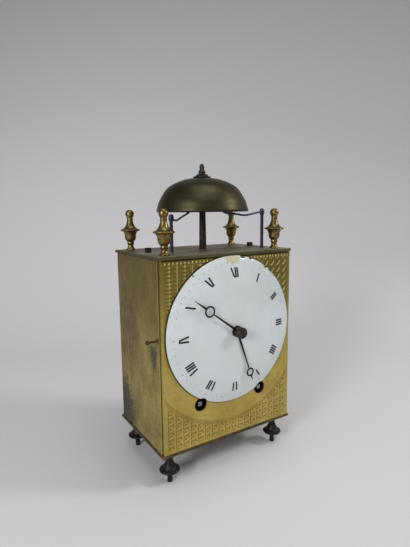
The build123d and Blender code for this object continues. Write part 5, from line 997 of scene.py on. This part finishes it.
# %% Washer and nut on the bell
STUD_HOLE, WASHER_HEIGHT = 1.6, 2.0
BELL_TOP = BELL_RIM + BELL_HEIGHT
washer_line = outline([(STUD_HOLE, 0), (8.0, 0)], [(8.0, 0), (8.0, 0.5)], [(8.0, 0.5), (5.1, WASHER_HEIGHT)],
                      [(5.1, WASHER_HEIGHT), (STUD_HOLE, WASHER_HEIGHT)])
nut_line = outline([(STUD_HOLE, 0), (5.1, 0)], [(5.1, 0), (5.1, 0.6)], [(5.1, 0.6), (2.6, 1.5)],
                   [(2.6, 1.5), (3.3, 2.7), (2.5, 4.2)], [(2.5, 4.2), (1.9, 4.9)],
                   [(1.9, 4.9), (2.15, 6.6), (1.9, 8.5), (0.9, 9.6), (0, 10)], step=0.3, wear=2)
washer = turned(washer_line, (0, 0, BELL_TOP), turns=48)
nut = turned(nut_line, (0, 0, BELL_TOP + WASHER_HEIGHT), turns=40)
wear(piece("bell_washer", "case", "iron", ("bell_washer",), washer), brown_steel)
wear(piece("bell_nut", "case", "iron", ("bell_nut",), nut), brown_steel)

# %% [markdown]
# A brass finial is screwed to each corner of the top plate: from below a foot, a waist, an urn with a
# sharp rim, a cone, a collar and a ball. A stack of cones and spheres would show where they meet, so the
# whole finial is one outline, with a corner wherever the turner put an edge.

# %% Finials
finial_line = outline(
    [(0, 0), (3.9, 0)], [(3.9, 0), (3.9, 0.7)], [(3.9, 0.7), (3.0, 2.0), (2.45, 3.5), (2.4, 4.6)],
    [(2.4, 4.6), (2.95, 5.4), (3.1, 6.2), (2.8, 7.2)], [(2.8, 7.2), (2.8, 7.6)],
    [(2.8, 7.6), (4.1, 8.8), (4.8, 10.6), (5.05, 13.4), (5.9, 16.0)], [(5.9, 16.0), (8.4, 17.0)],
    [(8.4, 17.0), (8.5, 17.5), (8.4, 18.0)], [(8.4, 18.0), (5.9, 19.0)],
    [(5.9, 19.0), (4.3, 20.6), (3.3, 22.8), (2.4, 25.8)], [(2.4, 25.8), (2.85, 26.3), (2.4, 26.8)],
    [(2.4, 28.45), (3.3, 29.5), (3.8, 31.4), (3.3, 33.3), (2.0, 34.65), (0, 35.2)], step=0.3, wear=2)
finials = [turned(finial_line, (x, y, TOP_FACE), turns=56) for x, y in CORNERS]
wear(piece("finials", "case", "turned_brass", ("finials",), *finials), turned_brass)

# %% [markdown]
# The feet are iron. Each has a small pad, a thin neck, a wide disc and a hollow cone that narrows
# towards the bottom plate. They are one object with four shells, because the CAD keeps all four in one
# node.

# %% Feet
FOOT_TOP = FOOT_HEIGHT - 0.05                 # just under the bottom plate
foot_line = outline(
    [(0, 0), (1.9, 0)], [(1.9, 0), (2.1, 0.3)], [(2.1, 0.3), (2.1, 8.0)],
    [(2.1, 8.0), (5.5, 8.8), (8.1, 10.0)], [(8.1, 10.0), (8.5, 10.8), (8.1, 11.6)],
    [(8.1, 11.6), (5.6, 13.2), (3.9, 16.2), (2.9, 19.2), (2.6, 21.6)],
    [(2.6, 21.6), (2.6, FOOT_TOP)], [(2.6, FOOT_TOP), (0, FOOT_TOP)], step=0.3, wear=2)
feet = [turned(foot_line, (x, y, -PLATE - FOOT_HEIGHT), turns=48) for x, y in CORNERS]
wear(piece("feet", "case", "iron", ("feet",), *feet), black_iron)

# %% [markdown]
# A knob is a thin stem with a flange at the door and a small ball at its end. Each stands straight out
# of its own door, so one outline is turned round an axis along x for the side doors and along y for the
# rear one.

# %% Door knobs
knob_line = outline(
    [(0, 0), (1.6, 0)], [(1.6, 0), (1.6, 0.6), (0.8, 1.2)], [(0.8, 1.2), (0.75, 4.0), (0.8, 6.8)],
    [(0.8, 6.8), (1.5, 7.5), (1.7, 8.3), (1.45, 9.2), (0.8, 9.8), (0, 10.0)], step=0.2, wear=2)
LEFT_KNOB_Y, RIGHT_KNOB_Y, REAR_KNOB_X = -37.8, -28.1, -57.2
KNOBS = {"left_door": ((-CASE_HALF_WIDTH, LEFT_KNOB_Y, DIAL_Z), 0, -1),
         "right_door": ((CASE_HALF_WIDTH, RIGHT_KNOB_Y, DIAL_Z), 0, 1),
         "rear_door": ((REAR_KNOB_X, REAR_Y, DIAL_Z), 1, 1)}   # (place, axis, way along it)
for door, (place, axis, sign) in KNOBS.items():
    name = door + "_knob"
    wear(piece(name, door, "turned_brass", (name,), turned(knob_line, place, axis, 32, sign)), knob_brass)

# %% [markdown]
# ## Sheets
#
# The plates and doors are sheet brass with edges worn round by hands and files. Hammered and bent
# sheet is never flat, so each one bows by a fraction of a millimetre along its length. A flat box would
# reflect like a mirror. A Displace modifier could bend it, but would need a texture for so plain a wave.

# %% Bowed plates
PLATE_OVERHANG, PLATE_ROUNDING, DOOR_ROUNDING = 0.5, 0.35, 0.3


def bowed(axis, length, depth):
    """Moves a sheet's points along an axis by depth * sin(2.3 u / length + 0.7) cos(1.9 v / length)."""
    def swell(grid):
        one, two = [a for a in range(3) if a != axis]
        wave = np.sin(grid[..., one] * 2.3 / length + 0.7) * np.cos(grid[..., two] * 1.9 / length)
        grid = grid.copy()
        grid[..., axis] += depth * wave
        return grid
    return swell


plate_x, plate_y = CASE_HALF_WIDTH + PLATE_OVERHANG, REAR_Y + PLATE_OVERHANG
for name, low_z, finish in (("top_plate", CASE_HEIGHT, top_brass), ("bottom_plate", -PLATE, edge_brass)):
    sheet = soft_block((-plate_x, -plate_y, low_z), (plate_x, plate_y, low_z + PLATE), PLATE_ROUNDING,
                       swell=bowed(2, 40.0, 0.08))
    wear(piece(name, "case", "sheet_brass", (name,), *sheet), finish)

# %% [markdown]
# Each door turns on a rod, and its edge is rolled round the rod into a knuckle as long as the door. The
# knuckle is a turned tube in the same piece as its sheet, so both wear the same finish and turn together.

# %% Doors
DOOR, DOOR_GAP, KNUCKLE, ROD_HOLE = 1.2, 0.3, 1.7, 0.95
DOOR_TOP = CASE_HEIGHT - DOOR_GAP
SIDE_DOOR_FRONT, SIDE_HINGE_Y, REAR_HALF = -40.1, 38.9, 59.5
knuckle_line = outline(
    [(ROD_HOLE, DOOR_GAP), (KNUCKLE, DOOR_GAP)], [(KNUCKLE, DOOR_GAP), (KNUCKLE, DOOR_TOP)],
    [(KNUCKLE, DOOR_TOP), (ROD_HOLE, DOOR_TOP)], step=1.0, wear=1)
for side, name in ((-1, "left_door"), (1, "right_door")):
    x_low, x_high = sorted((side * CASE_HALF_WIDTH, side * (CASE_HALF_WIDTH - DOOR)))
    sheet = soft_block((x_low, SIDE_DOOR_FRONT, DOOR_GAP), (x_high, SIDE_HINGE_Y, DOOR_TOP), DOOR_ROUNDING,
                       swell=bowed(0, 45.0, 0.10))
    knuckle = turned(knuckle_line, (side * (CASE_HALF_WIDTH - KNUCKLE), SIDE_HINGE_Y, 0.0), turns=24)
    wear(piece(name, name, "sheet_brass", (name,), *sheet, knuckle), side_brass)
rear_sheet = soft_block((-REAR_HALF, REAR_Y - DOOR, DOOR_GAP), (REAR_HALF, REAR_Y, DOOR_TOP), DOOR_ROUNDING,
                        swell=bowed(1, 45.0, 0.08))
rear_knuckle = turned(knuckle_line, (REAR_HALF, REAR_Y - KNUCKLE, 0.0), turns=24)
wear(piece("rear_door", "rear_door", "sheet_brass", ("rear_door",), *rear_sheet, rear_knuckle), side_brass)

# %% [markdown]
# ## Finishes of the CAD's own pieces
#
# The movement, the hammers and the hidden iron keep their CAD shapes, because machined parts are as
# sharp as the CAD draws them. Each gets the metal it is made of.

# %% Inner pieces
METALS = {
    front_brass: ("front_plate",),
    side_brass: ("corner_pillars",),
    clean_brass: ("movement_front_plate", "movement_back_plate", "movement_pillars", "hammer_brackets",
                  "back_cock", "going_barrel", "strike_barrel", "intermediate_wheel", "centre_wheel",
                  "third_wheel", "escape_wheel", "pin_wheel", "warning_wheel", "fly", "count_wheel",
                  "alarm_wheel", "cannon_pinion", "minute_wheel", "hour_wheel", "pendulum_bob",
                  "rating_nut"),
    bright_steel: ("going_winding_arbor", "strike_winding_arbor", "going_mainspring",
                   "strike_mainspring", "going_click", "strike_click", "hammer_springs",
                   "click_springs", "movement_screws", "movement_studs", "pallets", "lifting_lever",
                   "locking_lever"),
    blued_iron: ("strike_hammer", "alarm_hammer", "pendulum_rod"),
    brown_steel: ("bell_post",),
    black_iron: ("hanger_bar", "hanger_nuts", "hinge_rods"),
}
for finish, nodes in METALS.items():
    for node in nodes:
        wear(node, finish)
print(sum(len(nodes) for nodes in METALS.values()), "CAD nodes finished")

# %% [markdown]
# ## Stage and light
#
# The clock stands on pale paper that curves up behind it, as in a studio. A plane and a wall would show
# a line where they meet. So the paper's profile is a floor, a quarter circle and a wall, swept across
# the camera's view. It darkens towards its top and its far right corner, where the lamps don't reach.

# %% Paper
BEND_START, BEND_RADIUS, PAPER_HALF, WALL_HEIGHT = 0.62, 0.42, 2.2, 2.4
PAPER_WHITE, PAPER_GREY, PAPER_CORNER = (0.70, 0.70, 0.71), (0.26, 0.252, 0.252), (0.24, 0.24, 0.25)


def paper_profile():
    """Distance from the camera's foot and height, in metres."""
    floor = [(d, 0.0) for d in np.linspace(-PAPER_HALF, BEND_START, 40)]
    turn = np.linspace(0, pi / 2, 30)[1:]
    bend = list(zip(BEND_START + BEND_RADIUS * np.sin(turn), BEND_RADIUS * (1 - np.cos(turn))))
    wall = [(BEND_START + BEND_RADIUS, h) for h in np.linspace(BEND_RADIUS, WALL_HEIGHT, 20)[1:]]
    return np.array(floor + bend + wall)


profile, across = paper_profile(), np.linspace(-PAPER_HALF, PAPER_HALF, 40)
away, wide = np.meshgrid(profile[:, 0], across, indexing="ij")
foot_x, foot_y = CAMERA_PLACE[0] * MM, CAMERA_PLACE[1] * MM
paper_grid = np.stack((foot_x + sin(HEADING) * away + cos(HEADING) * wide,
                       foot_y + cos(HEADING) * away - sin(HEADING) * wide,
                       profile[:, 1:] + 0 * wide), axis=-1)
paper = surface("paper", (paper_grid, False, False, None))
paper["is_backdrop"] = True

paper_finish = Finish("paper", roughness=0.85, specular_ior_level=0.2)
paper_finish.colour = paper_finish.mix(paper_finish.z.step(0.0, 1.1), PAPER_WHITE, PAPER_GREY)
far_right = paper_finish.x.step(0.05, 0.85) * paper_finish.z.step(-0.05, 0.15)
paper_finish.lay_colour(far_right * 0.42, PAPER_CORNER)
paper_finish.set("Base Color", paper_finish.colour)
wear(paper, paper_finish)

# %% [markdown]
# Two large lamps stand high on both sides of the camera, so that two soft shadows fall behind the
# clock, and a third fills from above. Sun lamps would give hard shadows; a disk's shadow softens with
# its size. Each lamp is turned to look at the clock's middle.

# %% Lamps
AIM = Vector((0.0, 0.0, 0.12))
LAMPS = (("key", (0.74, -0.55, 0.72), 0.24, 4.2, (1.0, 0.985, 0.96)),
         ("side", (-1.10, -0.52, 0.55), 0.40, 8.5, (0.99, 0.99, 1.0)),
         ("top", (0.0, -0.30, 1.35), 1.0, 4.6, (1.0, 1.0, 1.0)))    # (place, size, watts, colour)
for name, place, size, power, colour in LAMPS:
    lamp = bpy.data.lights.new(name, "AREA")
    lamp.shape, lamp.size, lamp.energy, lamp.color = "DISK", size, power, colour
    stand = bpy.data.objects.new(name, lamp)
    stand.location = place
    stand.rotation_euler = (AIM - Vector(place)).to_track_quat("-Z", "Y").to_euler()
    bpy.context.scene.collection.objects.link(stand)
    print(name, "lamp", power, "W")

# %% [markdown]
# The room lights the clock evenly from all sides, and brass shows it as reflections. The camera sees a
# plain grey past the paper's edge instead: a Light Path node tells its rays from the others.

# %% Room
ROOM_LIGHT, ROOM_STRENGTH, ROOM_SEEN = (0.55, 0.56, 0.58, 1.0), 0.42, (0.42, 0.42, 0.43, 1.0)

room = bpy.data.worlds.new("room")
room.use_nodes = True
nodes, links = room.node_tree.nodes, room.node_tree.links
lit, seen = nodes["Background"], nodes.new("ShaderNodeBackground")
lit.inputs["Color"].default_value = ROOM_LIGHT
lit.inputs["Strength"].default_value = ROOM_STRENGTH
seen.inputs["Color"].default_value = ROOM_SEEN
ray, chosen = nodes.new("ShaderNodeLightPath"), nodes.new("ShaderNodeMixShader")
links.new(ray.outputs["Is Camera Ray"], chosen.inputs[0])
links.new(lit.outputs[0], chosen.inputs[1])
links.new(seen.outputs[0], chosen.inputs[2])
links.new(chosen.outputs[0], nodes["World Output"].inputs["Surface"])
bpy.context.scene.world = room
bpy.context.scene.view_settings.view_transform = "Standard"
print("room lit")

# %% [markdown]
# ## Size
#
# A dressed clock must not be larger than the drawn one, so both boxes are measured and kept.

# %% Size
low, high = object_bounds()
size = {"cad_box": cad_box, "scene_box": [list(low), list(high)]}
print("size", size)
